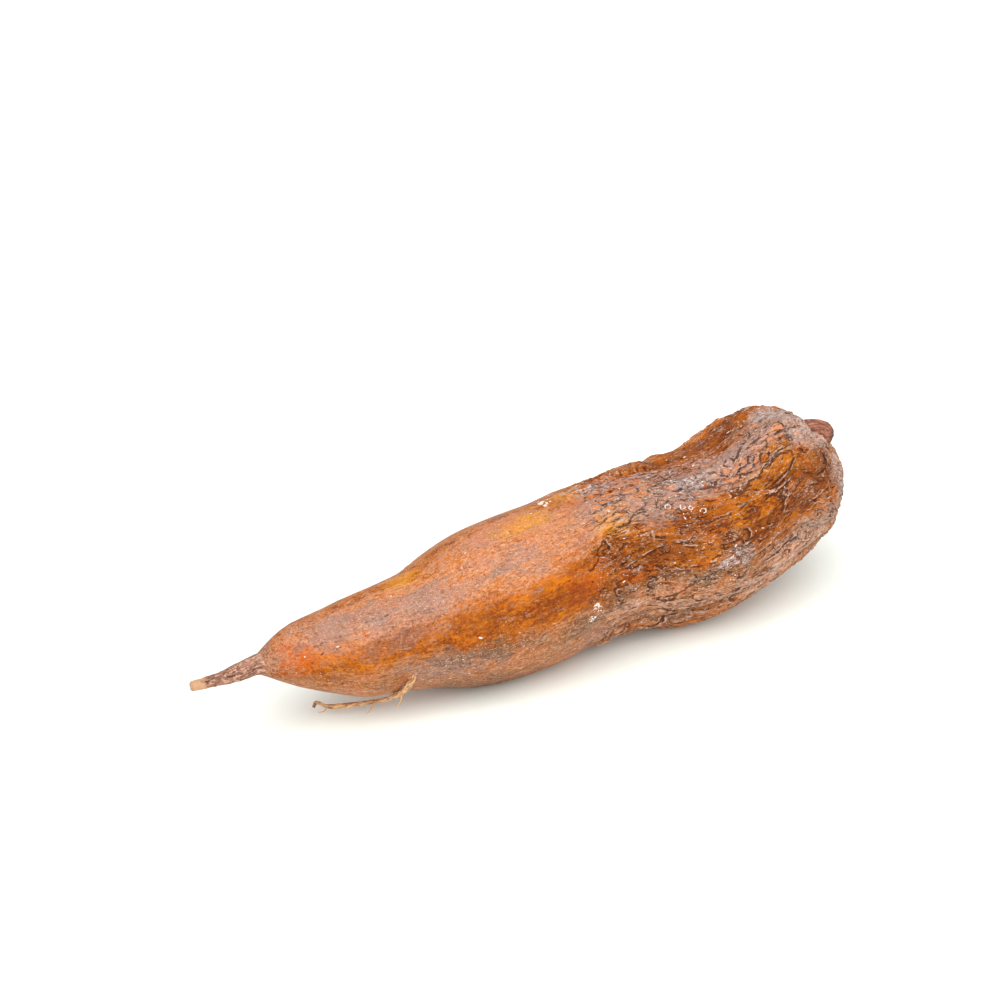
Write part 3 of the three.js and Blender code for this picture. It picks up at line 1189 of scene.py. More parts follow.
@dataclass
class Limb:
    """A thin round part of the root that follows a bent line: the tail, the stub or the side root.

    Attributes:
        name: the piece's name.
        rows: centre x, y, z and radius along it.
        rings: how many rings of points it has.
        sides: how many points a ring has.
        fold: how high its lengthwise wrinkles are.
        knob: how much it swells and shrinks along its way.
        grain: the wrinkles' length and width.
        seed: another number gives another draw.
        knob_length: how far apart the swellings are.
    """

    name: str
    rows: tuple[tuple[float, ...], ...]
    rings: int
    sides: int
    fold: float
    knob: float
    grain: tuple[float, float]
    seed: int
    knob_length: float = 3.2

    def skin(self) -> tuple[Skin, dict[str, np.ndarray]]:
        """Works out the closed skin.

        Returns:
            The skin, and what the finish reads at each of its points.
        """
        spine = Spine(self.rows)
        along = np.linspace(0, spine.length, self.rings + 1)
        middle = spine.at(along)
        forward = np.gradient(middle[:, :3], axis=0)
        forward /= np.linalg.norm(forward, axis=1, keepdims=True)
        across = np.cross(forward, [0, 0, 1.0])
        across /= np.linalg.norm(across, axis=1, keepdims=True)
        up = np.cross(across, forward)
        angle = 2 * np.pi * np.arange(self.sides) / self.sides
        spoke = np.cos(angle)[None, :, None] * across[:, None] + np.sin(angle)[None, :, None] * up[:, None]
        radius = middle[:, 3][:, None] * np.ones(self.sides)
        straight = np.stack(
            [np.repeat(along[:, None], self.sides, 1), radius * np.cos(angle), radius * np.sin(angle)], -1
        )
        lattice = straight.reshape(-1, 3) / np.array([self.grain[0], self.grain[1], self.grain[1]])
        fold = (1 - 2 * np.abs(noise(lattice, self.seed))).reshape(radius.shape)
        fold += 0.6 * noise(lattice * np.array([2.5, 2.2, 2.2]), self.seed + 1).reshape(radius.shape)
        knob = noise(np.stack([along / self.knob_length, 0 * along, 0 * along], 1), self.seed + 2)[:, None]
        rings = middle[:, None, :3] + spoke * (radius + self.fold * fold + self.knob * knob)[..., None]
        rings[..., 2] = np.maximum(rings[..., 2], 0)
        skin = Skin(rings, rings[0].mean(axis=0), rings[-1].mean(axis=0))
        reach = np.repeat(along / spine.length, self.sides)
        values = {"lay": straight.reshape(-1, 3), "reach": reach, "fold": fold.ravel()}
        return skin, {k: np.concatenate([v[:1], v, v[-1:]]) for k, v in values.items()}

    def build(self, material: bpy.types.Material) -> None:
        """Makes the limb's mesh, which stands for its part of the solid.

        Args:
            material: its finish.
        """
        skin, values = self.skin()
        piece = make_piece(self.name, skin.points(), skin.faces(), material, values)
        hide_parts(NODE)


@dataclass
class Scraps:
    """Small closed bits that lie on the bark, gathered in one mesh.

    Attributes:
        levels: the heights of a lump's rings, as shares of its half height.
        sides: how many points a lump's ring has.
        flat: a lump's half height as a share of its half width.
        wobble: how much smaller or larger the ring may be at each point.
        tilt: how far a lump may turn off the root's run, in radians.
    """

    points: list[np.ndarray] = field(default_factory=list)
    faces: list[tuple[int, ...]] = field(default_factory=list)
    count: int = 0
    levels: tuple[float, ...] = (-0.5, 0, 0.5, 0.85)
    sides: int = 8
    flat: float = 0.55
    wobble: tuple[float, float] = (0.75, 1.2)
    tilt: float = 0.7

    def add(self, skin: Skin) -> None:
        """Adds one bit.

        Args:
            skin: its surface.
        """
        points = skin.points()
        self.points.append(points)
        self.faces.extend(tuple(i + self.count for i in face) for face in skin.faces())
        self.count += len(points)

    def lump(self, spot: Spot, size: float, long: float, draw: random.Random) -> None:
        """Adds a rounded, slightly flattened lump.

        Args:
            spot: where it sits.
            size: half its width.
            long: how many times longer than wide it is.
            draw: the source of chance.
        """
        side = np.cross(spot.outward, spot.forward)
        tilt = draw.uniform(-self.tilt, self.tilt)
        ahead = np.cos(tilt) * spot.forward + np.sin(tilt) * side
        side = np.cross(spot.outward, ahead)
        rings = []
        for level in self.levels:
            width = np.sqrt(max(1 - level * level, 0.05))
            ring = []
            for step in range(self.sides):
                angle = 2 * np.pi * step / self.sides
                wobble = draw.uniform(*self.wobble)
                ring.append(
                    spot.place
                    + ahead * (size * long * width * wobble * np.cos(angle))
                    + side * (size * width * wobble * np.sin(angle))
                    + spot.outward * (size * self.flat * level)
                )
            rings.append(ring)
        rings = np.array(rings)
        top = rings[-1].mean(axis=0) + spot.outward * size * 0.05
        self.add(Skin(rings, rings[0].mean(axis=0), top))

    def build(self, name: str, material: bpy.types.Material, slot: str) -> None:
        """Makes the mesh of all bits."""
        make_piece(name, np.concatenate(self.points), self.faces, material, {})


@dataclass
class Litter:
    """Lumps of dried wax on the bark.

    Attributes:
        body: the body that they lie on.
        seed: another number gives another draw.
        clusters: for each, x, turn, reach in millimetres, how many lumps and how large they are.
        strewn: for each stretch of the root, its two ends in x and how many lumps lie on it.
        lowest: how high above the floor a lump has to lie.
        least: half the width of the smallest lump.
        spread: how much more half the width of the largest is.
        long: how many times longer than wide a lump is.
        curls: x and turn of small curled rings of wax.
        curl_radius: how large a ring may be.
        curl_bend: how far each of its lumps may lie off the ring, as a share of its radius.
        curl_lump: half the width of its lumps.
    """

    body: Body
    seed: int = 21
    clusters: tuple[tuple[float, float, float, int, float], ...] = (
        (8.5, 177, 1.1, 18, 2.0),
        (6.3, 185, 0.8, 12, 1.8),
        (8, 81, 1.1, 14, 2.2),
        (66, 172, 3, 18, 1.3),
        (24, 165, 2, 8, 1),
        (57, 132, 4, 12, 1),
        (52.1, 134, 0.5, 4, 1.8),
        (61, 107, 5, 40, 1),
        (74, 79, 12, 36, 1),
        (28, 87, 10, 36, 1),
        (88, 92, 8, 10, 1),
        (104, 98, 10, 8, 1),
        (82, 158, 12, 6, 1),
        (40, 140, 12, 8, 1),
        (-48, 196, 8, 8, 1),
        (-96, 168, 8, 4, 1),
        (118, 160, 8, 5, 1),
    )
    strewn: tuple[tuple[float, float, int], ...] = ((14, 132, 50), (-108, 14, 30))
    lowest: float = 4
    least: float = 0.08
    spread: float = 0.3
    long: tuple[float, float] = (1.2, 3.2)
    curls: tuple[tuple[float, float], ...] = ((47.4, 126), (52.7, 128), (55.6, 129.5), (60.1, 133))
    curl_radius: tuple[float, float] = (0.6, 0.95)
    curl_bend: tuple[float, float] = (0.75, 1.25)
    curl_lump: tuple[float, float] = (0.14, 0.28)

    def wax(self) -> Scraps:
        """Drops lumps of wax in clusters where they were seen, and strews some over the rest.

        Returns:
            The lumps.
        """
        draw = random.Random(self.seed)
        bits = Scraps()
        spots = []
        for x, turn, reach, count, size in self.clusters:
            for _ in range(count):
                spots.append((x + draw.gauss(0, reach), turn + draw.gauss(0, reach) * 2, size))
        for first, last, count in self.strewn:
            spots += [(draw.uniform(first, last), draw.uniform(0, 360), 1) for _ in range(count)]
        for x, turn, scale in spots:
            spot = self.body.spot(x, turn)
            if spot.place[2] > self.lowest:
                size = scale * (self.least + self.spread * draw.betavariate(1.1, 3.2))
                bits.lump(spot, size, draw.uniform(*self.long) / np.sqrt(scale), draw)
        for x, turn in self.curls:
            self.curl(bits, x, turn, draw)
        return bits

    def curl(self, bits: Scraps, x: float, turn: float, draw: random.Random) -> None:
        """Adds an open ring of wax, which runs together from small lumps.

        Args:
            bits: what it is added to.
            x: how far along the root it lies.
            turn: how far round it, in degrees.
            draw: the source of chance.
        """
        spot = self.body.spot(x, turn)
        side = np.cross(spot.outward, spot.forward)
        radius = draw.uniform(*self.curl_radius)
        opening = draw.uniform(0, 2 * np.pi)
        lumps, full_ring = 12, 15
        for step in range(lumps):
            angle = opening + 2 * np.pi * step / full_ring
            wide = radius * draw.uniform(*self.curl_bend)
            bend = wide * (1.3 * spot.forward * np.cos(angle) + side * np.sin(angle))
            around = Spot(spot.place + bend + 0.1 * spot.outward, spot.outward, spot.forward)
            bits.lump(around, draw.uniform(*self.curl_lump), 1.3, draw)


def grow_hairs() -> Scraps:
    """Thin hair roots by the side root, as tapered bent rods.

    Returns:
        The hairs.
    """
    bits = Scraps()
    for number, rows in enumerate(HAIR_ROWS):
        hair = Limb(f"hair_{number}", rows, 14, 8, fold=0.02, knob=0.04, grain=(3, 1), seed=90 + number)
        bits.add(hair.skin()[0])
    return bits


class Nodes:
    """A material's node tree, with the steps that every finish here is made of."""

    def __init__(self, name: str, carried: tuple[str, ...]) -> None:
        """Makes an empty material.

        Args:
            name: its name.
            carried: the names of the numbers that the mesh carries.
        """
        self.material = bpy.data.materials.new(name)
        self.material.use_nodes = True
        self.tree = self.material.node_tree
        self.tree.nodes.clear()
        self.lay = put(self.tree, "Attribute", attribute_name="lay").outputs["Vector"]
        readers = {label: put(self.tree, "Attribute", attribute_name=label) for label in carried}
        self.mark = {label: node.outputs["Fac"] for label, node in readers.items()}

    def grain(self, length: float, width: float, detail: float, rough: float) -> bpy.types.NodeSocket:
        """Makes noise that is drawn out along the root.

        Args:
            length: how long its grains are, in millimetres.
            width: how wide they are.
            detail: how many finer layers it has.
            rough: how strong those are.

        Returns:
            The noise, mostly from 0.3 to 0.7.
        """
        steps = (1 / length, 1 / width, 1 / width)
        place = put(self.tree, "Mapping", {"Vector": self.lay, "Scale": steps}).outputs["Vector"]
        inputs = {"Vector": place, "Scale": 1.0, "Detail": detail, "Roughness": rough}
        return put(self.tree, "TexNoise", inputs).outputs["Fac"]

    def total(self, *terms: Any) -> Any:
        """Adds up terms.

        Args:
            *terms: values, or the factors of a product in brackets.

        Returns:
            The sum.
        """
        found = None
        for term in terms:
            product, *factors = term if isinstance(term, tuple) else (term,)
            for factor in factors:
                product = put(self.tree, "Math", {0: product, 1: factor}, operation="MULTIPLY").outputs[0]
            if found is None:
                found = product
            else:
                found = put(self.tree, "Math", {0: found, 1: product}, operation="ADD").outputs[0]
        return found

    def eased(self, low: float, high: float, *terms: Any, top: float = 1.0) -> bpy.types.NodeSocket:
        """Goes smoothly from 0 where a sum is low to top where it is high. High may be the smaller one.

        Args:
            low: the sum that gives 0.
            high: the sum that gives top.
            *terms: what is added up.
            top: the highest result.

        Returns:
            Numbers from 0 to top.
        """
        first, last = 0.0, top
        if high < low:
            low, high, first, last = high, low, top, 0.0
        inputs = {"From Min": low, "From Max": high, "To Min": first, "To Max": last}
        inputs["Value"] = self.total(*terms)
        return put(self.tree, "MapRange", inputs, interpolation_type="SMOOTHSTEP").outputs["Result"]

    def stack(self, below: Any, *layers: tuple[Any, ...]) -> bpy.types.NodeSocket:
        """Colours laid over one another.

        Args:
            below: the lowest colour.
            *layers: for each, its colour and the factors of the share that it covers.

        Returns:
            The colour that is seen.
        """
        for colour, *factors in layers:
            top, under = (to_linear(c) if isinstance(c, str) else c for c in (colour, below))
            inputs = {0: self.total(tuple(factors)), 6: under, 7: top}
            below = put(self.tree, "Mix", inputs, data_type="RGBA").outputs[2]
        return below

    def blend(self, deep: str, light: str, *noises: Any, low: float, high: float) -> bpy.types.NodeSocket:
        """A colour that goes from deep to light with the sum of noises, from low to high."""
        return self.stack(deep, (light, self.eased(low, high, *noises)))

    def ragged(self, name: str, noise_: bpy.types.NodeSocket, by: float) -> bpy.types.NodeSocket:
        """A mark of the mesh with its border made ragged by a noise."""
        return self.total(self.mark[name], (self.total(noise_, -0.5), by))

    def finish(
        self, inputs: dict[str, Any], *bumps: tuple[bpy.types.NodeSocket, float, float]
    ) -> bpy.types.Material:
        """Ends the tree in one surface shader.

        Args:
            inputs: its sockets' values or links.
            *bumps: laid over one another; for each, its heights, its strength and its depth in millimetres.

        Returns:
            The material.
        """
        surface = dict(inputs)
        for heights, strength, depth in bumps:
            bump = {"Height": heights, "Strength": strength, "Distance": depth * MM}
            if "Normal" in surface:
                bump["Normal"] = surface["Normal"]
            surface["Normal"] = put(self.tree, "Bump", bump).outputs[0]
        shader = put(self.tree, "BsdfPrincipled", surface)
        put(self.tree, "OutputMaterial", {"Surface": shader.outputs[0]})
        return self.material


class BarkTree(Nodes):
    """The bark's node tree, with the noises and the cover that several of its colours share.

    A noise has its length along the root and its width round it in millimetres, then its detail and
    its roughness. They go from stains of a thumb's width down to specks of half a millimetre, because
    finer ones wouldn't show in the render.
    """

    def __init__(self, name: str) -> None:
        """Makes the noises and reads what covers the bark.

        Args:
            name: the material's name.
        """
        relief = ("split", "neck", "groove", "plate", "seam", "scaly", "crack", "rim", "crumb")
        super().__init__(name, (*relief, *(tint.value for tint in Tint)))
        self.drift = self.grain(17, 8, 3, 0.6)
        self.cloud = self.grain(15, 2.8, 4, 0.62)
        self.mottle = self.grain(9, 4, 4, 0.6)
        self.streak = self.grain(7, 0.8, 3, 0.6)
        self.curd = self.grain(2.4, 1.3, 4, 0.65)
        self.curd_far = self.grain(2.0, 1.1, 4, 0.65)
        self.meal = self.grain(1.7, 1.1, 4, 0.7)
        self.fleck = self.grain(1.1, 0.7, 2, 0.55)
        self.glint = self.grain(1.0, 0.6, 1, 0.5)
        self.fine = self.grain(0.7, 0.45, 1, 0.5)

        self.split = self.mark["split"]
        self.bare = self.total((self.split, 0.75), 0.25)
        self.peel = self.total((self.share(Tint.PEEL, 0.35, 1.6), self.split))
        self.dry = self.total(1.0, (self.peel, -0.3))
        self.glossy = self.share(Tint.AMBER, 4, 6)
        self.thin = self.total(1.0, (self.glossy, -0.4))
        where_ridged = self.eased(0.44, 0.56, self.mottle)
        where_seamed = self.eased(0.56, 0.46, self.drift)
        self.ridges = self.total((self.veins(5, 1.3, 0.045), where_ridged, self.bare, self.dry))
        self.seams = self.total((self.veins(7, 1.7, 0.035), where_seamed, self.bare, self.dry))
        self.line = self.eased(0.3, 0.65, self.ragged("crack", self.fleck, 0.7))
        self.edge = self.eased(0.3, 0.75, self.ragged("rim", self.curd, 1.2))

    def share(self, tint: Tint, soft: float, grainy: float, top: float = 1.0) -> bpy.types.NodeSocket:
        """How far a tint covers, up to top, with a border as soft and as grainy as given in millimetres."""
        around = self.total((self.total(self.curd, self.fleck), 0.5), self.mottle, -1.0)
        return self.eased(-soft, soft, self.mark[tint.value], (around, grainy), top=top)

    def veins(self, length: float, width: float, thick: float) -> bpy.types.NodeSocket:
        """Draws thin wandering lines along the root, where a noise is at its middle.

        Args:
            length: how long the noise's grains are, in millimetres.
            width: how wide they are.
            thick: how far off its middle the noise may be.

        Returns:
            Numbers up to 1, on a line.
        """
        off = self.total(self.grain(length, width, 2, 0.5), -0.5)
        away = put(self.tree, "Math", {0: off}, operation="ABSOLUTE").outputs[0]
        return self.eased(thick, thick * 0.3, away)


@dataclass(frozen=True)
class BarkFinish:
    """Papery cassava bark under a thin coat of wax.

    The wax gives a pale sheen on what faces the sky. The glints on the rims of cracks and the sparkles
    strewn over the bark, most on the head half, are painted highlights; the pale rims, ridges, crests
    and specks are partly painted highlight and the dark cracks, seams and hollows partly painted shade.
    The thin paper over the smooth half is orange brown, paler and pinker where it is dry. Where the
    paper is gone on the head half the inner bark shows smooth and amber.
    """

    paper_deep: str = "#8E4516"
    paper_light: str = "#D58246"
    amber_deep: str = "#8A3A00"
    amber_light: str = "#D2741E"
    peach_deep: str = "#C67A4E"
    peach_light: str = "#E8AE8E"
    peach_pink: str = "#D2937C"
    tan_deep: str = "#87502F"
    tan_light: str = "#CC9069"
    tan_grey: str = "#A0806E"
    tan_pink: str = "#CB8468"
    chalk: str = "#E8BFA8"
    chalk_deep: str = "#B47C62"
    umber: str = "#7C3808"
    orange: str = "#C4521C"
    bloom: str = "#9A827C"
    island: str = "#E6986E"
    crust: str = "#AC918C"
    soot: str = "#5C4636"
    yellow: str = "#EFA650"
    peel_deep: str = "#8E420C"
    peel_light: str = "#D07A2A"
    # Dark specks; in the crumbs' hollows the same colour is painted shade.
    speck_dark_and_hollow_shade: str = "#4A1E08"
    # Pale specks, partly painted glints; the gold ones lie on the amber.
    speck_pale_and_glint: str = "#FBD4B4"
    speck_gold_and_glint: str = "#D88A44"
    # The dark in cracks and seams, partly painted shade.
    crack: str = "#4A1F0C"
    # The pale of raised rims, ridges and crests: the paper's edge, partly painted highlight.
    rim: str = "#E6BBA2"
    # The colour of the painted glints on the rims and over the bark, pale as wax.
    wax: str = "#FAF4F0"
    frost: str = "#DACBC8"
    neck_deep: str = "#7A5040"
    neck_light: str = "#B98C72"
    saturation: float = 1.12
    value: float = 0.84
    roughness: float = 0.42
    ior: float = 1.45
    specular: float = 0.16
    coat: float = 0.07
    coat_roughness: float = 0.25

    def paper(self, n: BarkTree) -> bpy.types.NodeSocket:
        """Lays out the outer bark: brown paper, amber where it shows through, dry peach, tan and chalk.

        Args:
            n: the bark's nodes.

        Returns:
            The colour.
        """
        amber = n.blend(self.amber_deep, self.amber_light, n.drift, n.curd_far, low=0.8, high=1.2)
        peach = n.stack(
            n.blend(self.peach_deep, self.peach_light, n.meal, n.curd, low=0.8, high=1.2),
            (self.peach_pink, n.eased(0.95, 1.2, n.drift, n.curd_far, top=0.8)),
            (self.bloom, n.eased(0.47, 0.38, n.cloud, top=0.5)),
            (self.paper_light, n.eased(0.54, 0.64, n.cloud, top=0.5)),
        )
        tan = n.stack(
            n.blend(self.tan_deep, self.tan_light, n.streak, n.curd_far, low=0.8, high=1.2),
            (self.tan_pink, n.eased(1.0, 1.2, n.drift, n.curd, top=0.7)),
            (self.tan_grey, n.eased(0.98, 0.8, n.drift, n.curd_far, top=0.6)),
        )
        chalk = n.blend(self.chalk_deep, self.chalk, n.streak, n.curd, low=0.85, high=1.15)
        return n.stack(
            n.blend(self.paper_deep, self.paper_light, n.mottle, n.curd, low=0.78, high=1.2),
            (amber, n.share(Tint.AMBER, 2.5, 9)),
            (peach, n.share(Tint.PEACH, 3.5, 10, 0.85)),
            (tan, n.share(Tint.TAN, 3, 9, 0.85)),
            (chalk, n.share(Tint.CHALK, 3, 14, 0.85)),
        )

    def patched(self, n: BarkTree, bark: bpy.types.NodeSocket) -> bpy.types.NodeSocket:
        """Adds the plates of the scaly parts, the stained and peeled patches and the tail's neck.

        Args:
            n: the bark's nodes.
            bark: the colour below.

        Returns:
            The colour with them.
        """
        scaly = n.mark["scaly"]
        plate = n.mark["plate"]
        peeled = n.blend(self.peel_deep, self.peel_light, n.mottle, n.curd_far, low=0.82, high=1.15)
        neck = n.blend(self.neck_deep, self.neck_light, n.streak, n.fleck, low=0.8, high=1.15)
        frayed = n.total(n.mark["neck"], (n.total(n.streak, n.mottle, -1.0), 2.6))
        return n.stack(
            bark,
            (self.island, n.eased(0.3, 0.5, plate, top=0.65), scaly),
            (self.crust, n.eased(0.34, 0.26, plate, top=0.5), scaly),
            (self.crust, n.eased(0.3, 0.8, n.ragged("seam", n.curd, 1.6), top=0.65), scaly),
            (self.yellow, n.share(Tint.YELLOW, 3, 12, 0.55)),
            (self.orange, n.share(Tint.ORANGE, 2.5, 12, 0.5)),
            (self.bloom, n.share(Tint.BLOOM, 5, 18, 0.68)),
            (self.soot, n.share(Tint.SOOT, 2.5, 18, 0.66)),
            (peeled, n.peel),
            (self.umber, n.share(Tint.UMBER, 3, 14, 0.6)),
            (neck, n.eased(0.2, 0.8, frayed, top=0.85)),
        )

    def specked(self, n: BarkTree, bark: bpy.types.NodeSocket) -> bpy.types.NodeSocket:
        """Adds dark and pale specks, the pale ones partly painted glints, and the crumbs' dark hollows and
        pale crests, which are painted shade and painted highlight.

        Args:
            n: the bark's nodes.
            bark: the colour below.

        Returns:
            The colour with them.
        """
        # Pale specks, partly painted glints: gold on the amber.
        pale = n.stack(self.speck_pale_and_glint, (self.speck_gold_and_glint, n.glossy))
        crest = n.ragged("crumb", n.curd, 1.6)
        return n.stack(
            bark,
            (self.speck_dark_and_hollow_shade, n.eased(0.56, 0.7, n.curd, top=0.55), n.dry),
            (pale, n.eased(0.57, 0.72, n.curd_far, top=0.5), n.dry),
            (self.speck_dark_and_hollow_shade, n.eased(0.58, 0.72, n.fleck, top=0.4)),
            (self.speck_dark_and_hollow_shade, n.eased(0.62, 0.72, n.streak, top=0.45), n.dry, n.bare),
            (pale, n.eased(0.56, 0.72, n.fine, top=0.4)),
            (self.speck_dark_and_hollow_shade, n.eased(0.42, 0.3, n.meal, top=0.4)),
            (self.speck_dark_and_hollow_shade, n.mark["groove"], n.eased(0.4, 0.6, n.curd_far, top=0.45)),
            # Painted highlight on the crumbs' crests and painted shade in their hollows.
            (self.rim, n.eased(0.5, 1.0, crest, top=0.3), n.thin),
            (self.speck_dark_and_hollow_shade, n.eased(-0.2, -0.75, crest, top=0.45)),
        )

    def cracked(self, n: BarkTree, bark: bpy.types.NodeSocket) -> bpy.types.NodeSocket:
        """Adds the cracks with their rims, the frost on top and the wax's glints, which are painted
        highlights; the rims' pale is partly painted highlight and the cracks' dark partly painted shade.

        Args:
            n: the bark's nodes.
            bark: the colour below.

        Returns:
            The colour with them.
        """
        film = n.eased(0.46, 0.62, n.curd_far, (n.ridges, 0.3), top=0.75)
        where_glints_painted = n.eased(0.4, 0.56, n.mottle)
        return n.stack(
            bark,
            # Pale on the raised ridges: the paper's edge, partly painted highlight.
            (self.rim, n.ridges, n.thin, 0.75),
            # Dark in the sunken seams, partly painted shade.
            (self.crack, n.seams, 0.6),
            # Pale on the raised rims, partly painted highlight.
            (self.rim, n.edge, 0.62),
            # Dark in the cracks, partly painted shade.
            (self.crack, n.line, 0.8),
            # Painted glints on the rims.
            (self.wax, n.edge, n.eased(0.58, 0.68, n.fleck), 0.7),
            (self.frost, n.share(Tint.FROST, 3, 10), film),
            # Painted glints strewn over the bark, most on the head half.
            (self.wax, n.eased(0.675, 0.72, n.glint, top=0.6), n.bare, where_glints_painted),
        )

    def build(self, name: str) -> bpy.types.Material:
        """Makes the material.

        Args:
            name: the material's name.

        Returns:
            The new material.
        """
        n = BarkTree(name)
        bark = self.cracked(n, self.specked(n, self.patched(n, self.paper(n))))
        tuned = {"Saturation": self.saturation, "Value": self.value, "Color": bark}
        inputs = {
            "Base Color": put(n.tree, "HueSaturation", tuned).outputs[0],
            "Roughness": n.total(n.eased(0.3, 0.7, n.mottle, top=0.14), (n.split, 0.04), self.roughness),
            "IOR": self.ior,
            "Specular IOR Level": self.specular,
            "Coat Weight": n.total((n.edge, 0.5), self.coat),
            "Coat Roughness": self.coat_roughness,
        }
        raised = n.total(n.edge, n.ridges, (n.total(n.line, n.seams), -1.0))
        coarse = ((n.curd, 0.7, 0.8), (n.streak, 0.5, 0.5))
        return n.finish(inputs, *coarse, (n.fleck, 0.5, 0.3), (raised, 0.9, 0.4))


@dataclass(frozen=True)
class LimbFinish:
    """Thin dry bark on the tail, the stub and the side root, which looks wrinkled and dull.

    Attributes:
        deep: the hollows' colour, partly painted shade.
        light: the ridges' colour, partly a painted highlight.
        crust: the pale crust by the body.
        tip: the bare end's colour.
        crust_until: the share of its length that the crust reaches to.
        tip_from: the share of its length where it is bare.
        border: half the width of both borders, as a share of its length.
        roughness: how dull it is.
    """

    deep: str
    light: str
    crust: str
    tip: str
    crust_until: float
    tip_from: float
    border: float = 0.06
    roughness: float = 0.6

    def build(self, name: str) -> bpy.types.Material:
        """Makes the material.

        Args:
            name: the material's name.

        Returns:
            The new material.
        """
        n = Nodes(name, ("fold", "reach"))
        curd = n.grain(2.2, 0.9, 4, 0.6)
        streak = n.grain(6, 0.5, 3, 0.6)
        fleck = n.grain(0.8, 0.45, 2, 0.55)
        reach = n.ragged("reach", curd, 0.22)
        by_body = n.eased(self.crust_until + self.border, self.crust_until - self.border, reach)
        at_tip = n.eased(self.tip_from - self.border, self.tip_from + self.border, reach)
        bark = n.stack(
            self.deep,
            # Lighter where the wrinkles stand up, partly painted highlight; the hollows keep the deep colour
            # as painted shade.
            (self.light, n.eased(0.75, 1.3, (n.mark["fold"], 0.3), curd, fleck)),
            (self.deep, n.eased(0.55, 0.63, streak, top=0.75)),
            (self.crust, n.eased(0.84, 0.94, curd, (fleck, 0.6), top=0.7)),
            (self.crust, by_body, n.eased(0.42, 0.56, curd), 0.8),
            (self.tip, at_tip, 0.9),
        )
        inputs = {"Base Color": bark, "Roughness": self.roughness, "Specular IOR Level": 0.3}
        return n.finish(inputs, (curd, 0.6, 0.5), (streak, 0.6, 0.4), (fleck, 0.4, 0.2))


@dataclass(frozen=True)
class PlainFinish:
    """One colour for small bits: dried wax, which glints, or hair roots, which are dull."""

    colour: str
    roughness: float
    coat: float

    def build(self, name: str) -> bpy.types.Material:
        """Makes the material.

        Args:
            name: the material's name.

        Returns:
            The new material.
        """
        n = Nodes(name, ())
        return n.finish(
            {"Base Color": to_linear(self.colour), "Roughness": self.roughness, "Coat Weight": self.coat}
        )


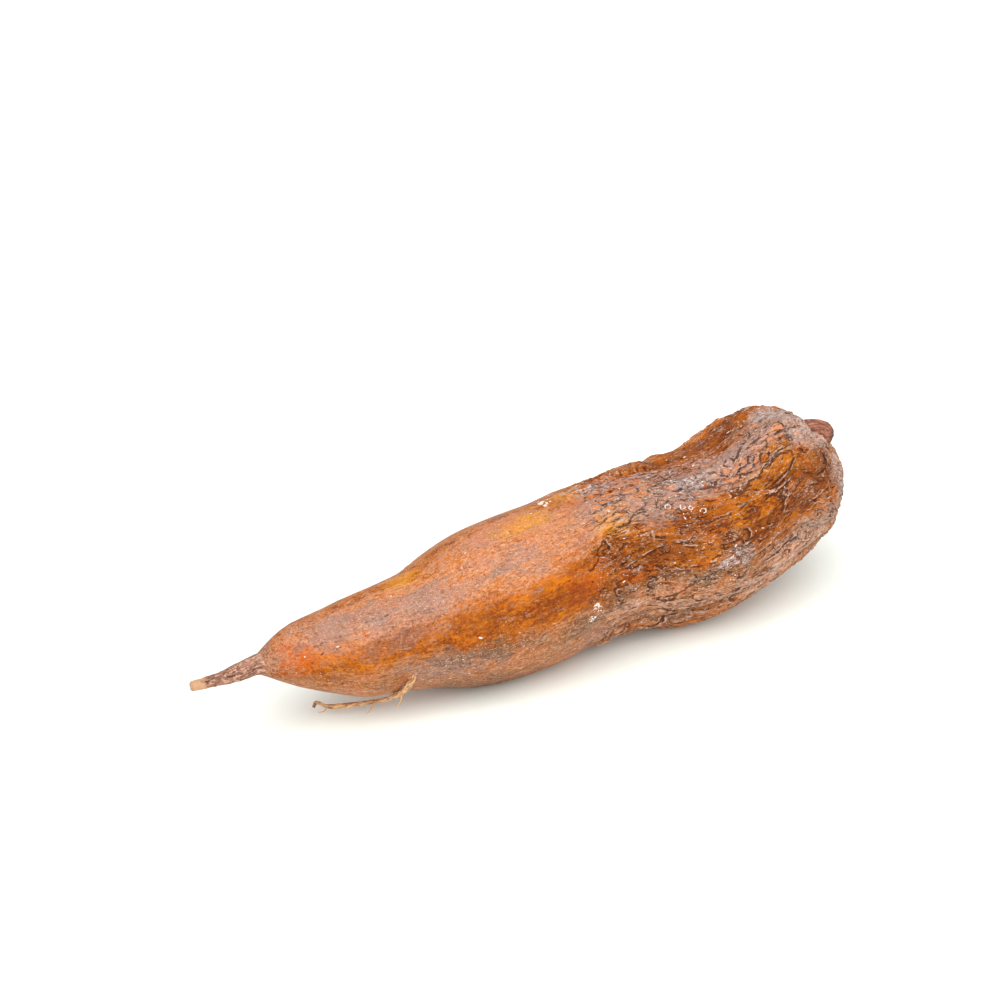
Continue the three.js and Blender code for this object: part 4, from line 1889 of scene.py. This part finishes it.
@dataclass
class Studio:
    """A plain pale floor, a camera at the photograph's angle and soft light.

    Attributes:
        azimuth: where the camera stands, in degrees from -Y towards +X.
        elevation: how high it stands, in degrees.
        distance: how far it is from what it is aimed at.
        aim: the point in the middle of the picture, in the shared frame.
        lens: its focal length.
        clip: how far it sees, in metres.
        floor_reach: half the floor's side.
        floor_drop: how far the floor lies under the root.
        floor_colour: a pale white with a touch of green.
        world: the strength of the light from all round.
    """

    azimuth: float = -31.5
    elevation: float = 27
    distance: float = 1000
    aim: tuple[float, float, float] = (-7.55, 9.33, 60.32)
    lens: float = 100
    clip: float = 20
    floor_reach: float = 4000
    floor_drop: float = 0.2
    floor_colour: str = "#F5FAF4"
    world: float = 0.76

    @staticmethod
    def toward(azimuth: float, elevation: float) -> np.ndarray:
        """The direction to a place in the sky, from its angles in degrees."""
        a, e = np.radians([azimuth, elevation])
        return np.array([np.sin(a) * np.cos(e), -np.cos(a) * np.cos(e), np.sin(e)])

    def camera(self) -> None:
        """Adds the camera."""
        data = bpy.data.cameras.new("camera")
        data.lens = self.lens
        data.clip_end = self.clip
        camera = bpy.data.objects.new("camera", data)
        bpy.context.scene.collection.objects.link(camera)
        back = self.toward(self.azimuth, self.elevation)
        camera.location = (np.array(self.aim) + back * self.distance) * MM
        camera.rotation_euler = Vector(-back).to_track_quat("-Z", "Y").to_euler()
        bpy.context.scene.camera = camera

    def floor(self) -> None:
        """Adds the floor, a hair under the root."""
        mesh = bpy.data.meshes.new("floor")
        half = self.floor_reach * MM
        low = -self.floor_drop * MM
        corners = [(-half, -half, low), (half, -half, low), (half, half, low), (-half, half, low)]
        mesh.from_pydata(corners, [], [(0, 1, 2, 3)])
        material = bpy.data.materials.new("white_sweep")
        material.use_nodes = True
        shader = material.node_tree.nodes["Principled BSDF"]
        shader.inputs["Base Color"].default_value = to_linear(self.floor_colour)
        shader.inputs["Roughness"].default_value = 0.9
        shader.inputs["Specular IOR Level"].default_value = 0.1
        mesh.materials.append(material)
        floor = bpy.data.objects.new("floor", mesh)
        bpy.context.scene.collection.objects.link(floor)

    def sun(self, name: str, azimuth: float, elevation: float, power: float, spread: float) -> None:
        """Adds a wide soft light from far away.

        Args:
            name: the light's name.
            azimuth: where it comes from, in degrees from -Y towards +X.
            elevation: how high it stands, in degrees.
            power: its strength.
            spread: how wide it looks, in degrees.
        """
        data = bpy.data.lights.new(name, "SUN")
        data.energy = power
        data.angle = np.radians(spread)
        light = bpy.data.objects.new(name, data)
        bpy.context.scene.collection.objects.link(light)
        light.rotation_euler = Vector(self.toward(azimuth, elevation)).to_track_quat("Z", "Y").to_euler()

    def build(self) -> None:
        """Adds everything."""
        self.camera()
        self.floor()
        self.sun("overhead", azimuth=-30, elevation=52, power=2.9, spread=76)
        world = bpy.data.worlds.new("studio")
        world.use_nodes = True
        world.node_tree.nodes["Background"].inputs["Color"].default_value = (1, 1, 1, 1)
        world.node_tree.nodes["Background"].inputs["Strength"].default_value = self.world
        bpy.context.scene.world = world
        bpy.context.scene.view_settings.view_transform = "Standard"


def main() -> None:
    """Builds the root and the studio round it."""
    logging.basicConfig(level=logging.INFO, format="%(message)s")
    Studio().build()
    body = Body()
    body.build(BarkFinish().build("waxed_cassava_bark"))
    dry_bark = LimbFinish(
        deep="#4E3026", light="#9C6E58", crust="#D0A48C", tip="#C49672", crust_until=0.3, tip_from=0.88
    )
    stalk_bark = LimbFinish(
        deep="#5A3024", light="#9A5E46", crust="#B88674", tip="#44291F", crust_until=0.25, tip_from=0.88
    )
    thread_bark = LimbFinish(
        deep="#8E603C", light="#DCAE80", crust="#C89A6C", tip="#4A3020", crust_until=0.02, tip_from=0.97
    )
    tail = Limb("tail", TAIL_ROWS, 180, 64, fold=0.3, knob=0.14, grain=(7, 0.9), seed=81)
    tail.build(dry_bark.build("dry_tail_bark"))
    stub = Limb("stalk_stub", STUB_ROWS, 60, 56, fold=0.3, knob=0.1, grain=(6, 1.6), seed=84)
    stub.build(stalk_bark.build("stub_bark"))
    side_root = Limb("side_root", SIDE_ROOT_ROWS, 170, 20, fold=0.12, knob=0.18, grain=(3, 0.8), seed=87)
    side_root.build(thread_bark.build("side_root_bark"))
    hair_bark = PlainFinish(colour="#C99A62", roughness=0.6, coat=0.0)
    grow_hairs().build("hair_roots", hair_bark.build("hair_root_bark"), "bark")
    dried_wax = PlainFinish(colour="#DCCCC3", roughness=0.4, coat=0.3)
    Litter(body).wax().build("wax_lumps", dried_wax.build("dried_wax"), "wax")


if __name__ == "__main__":
    main()
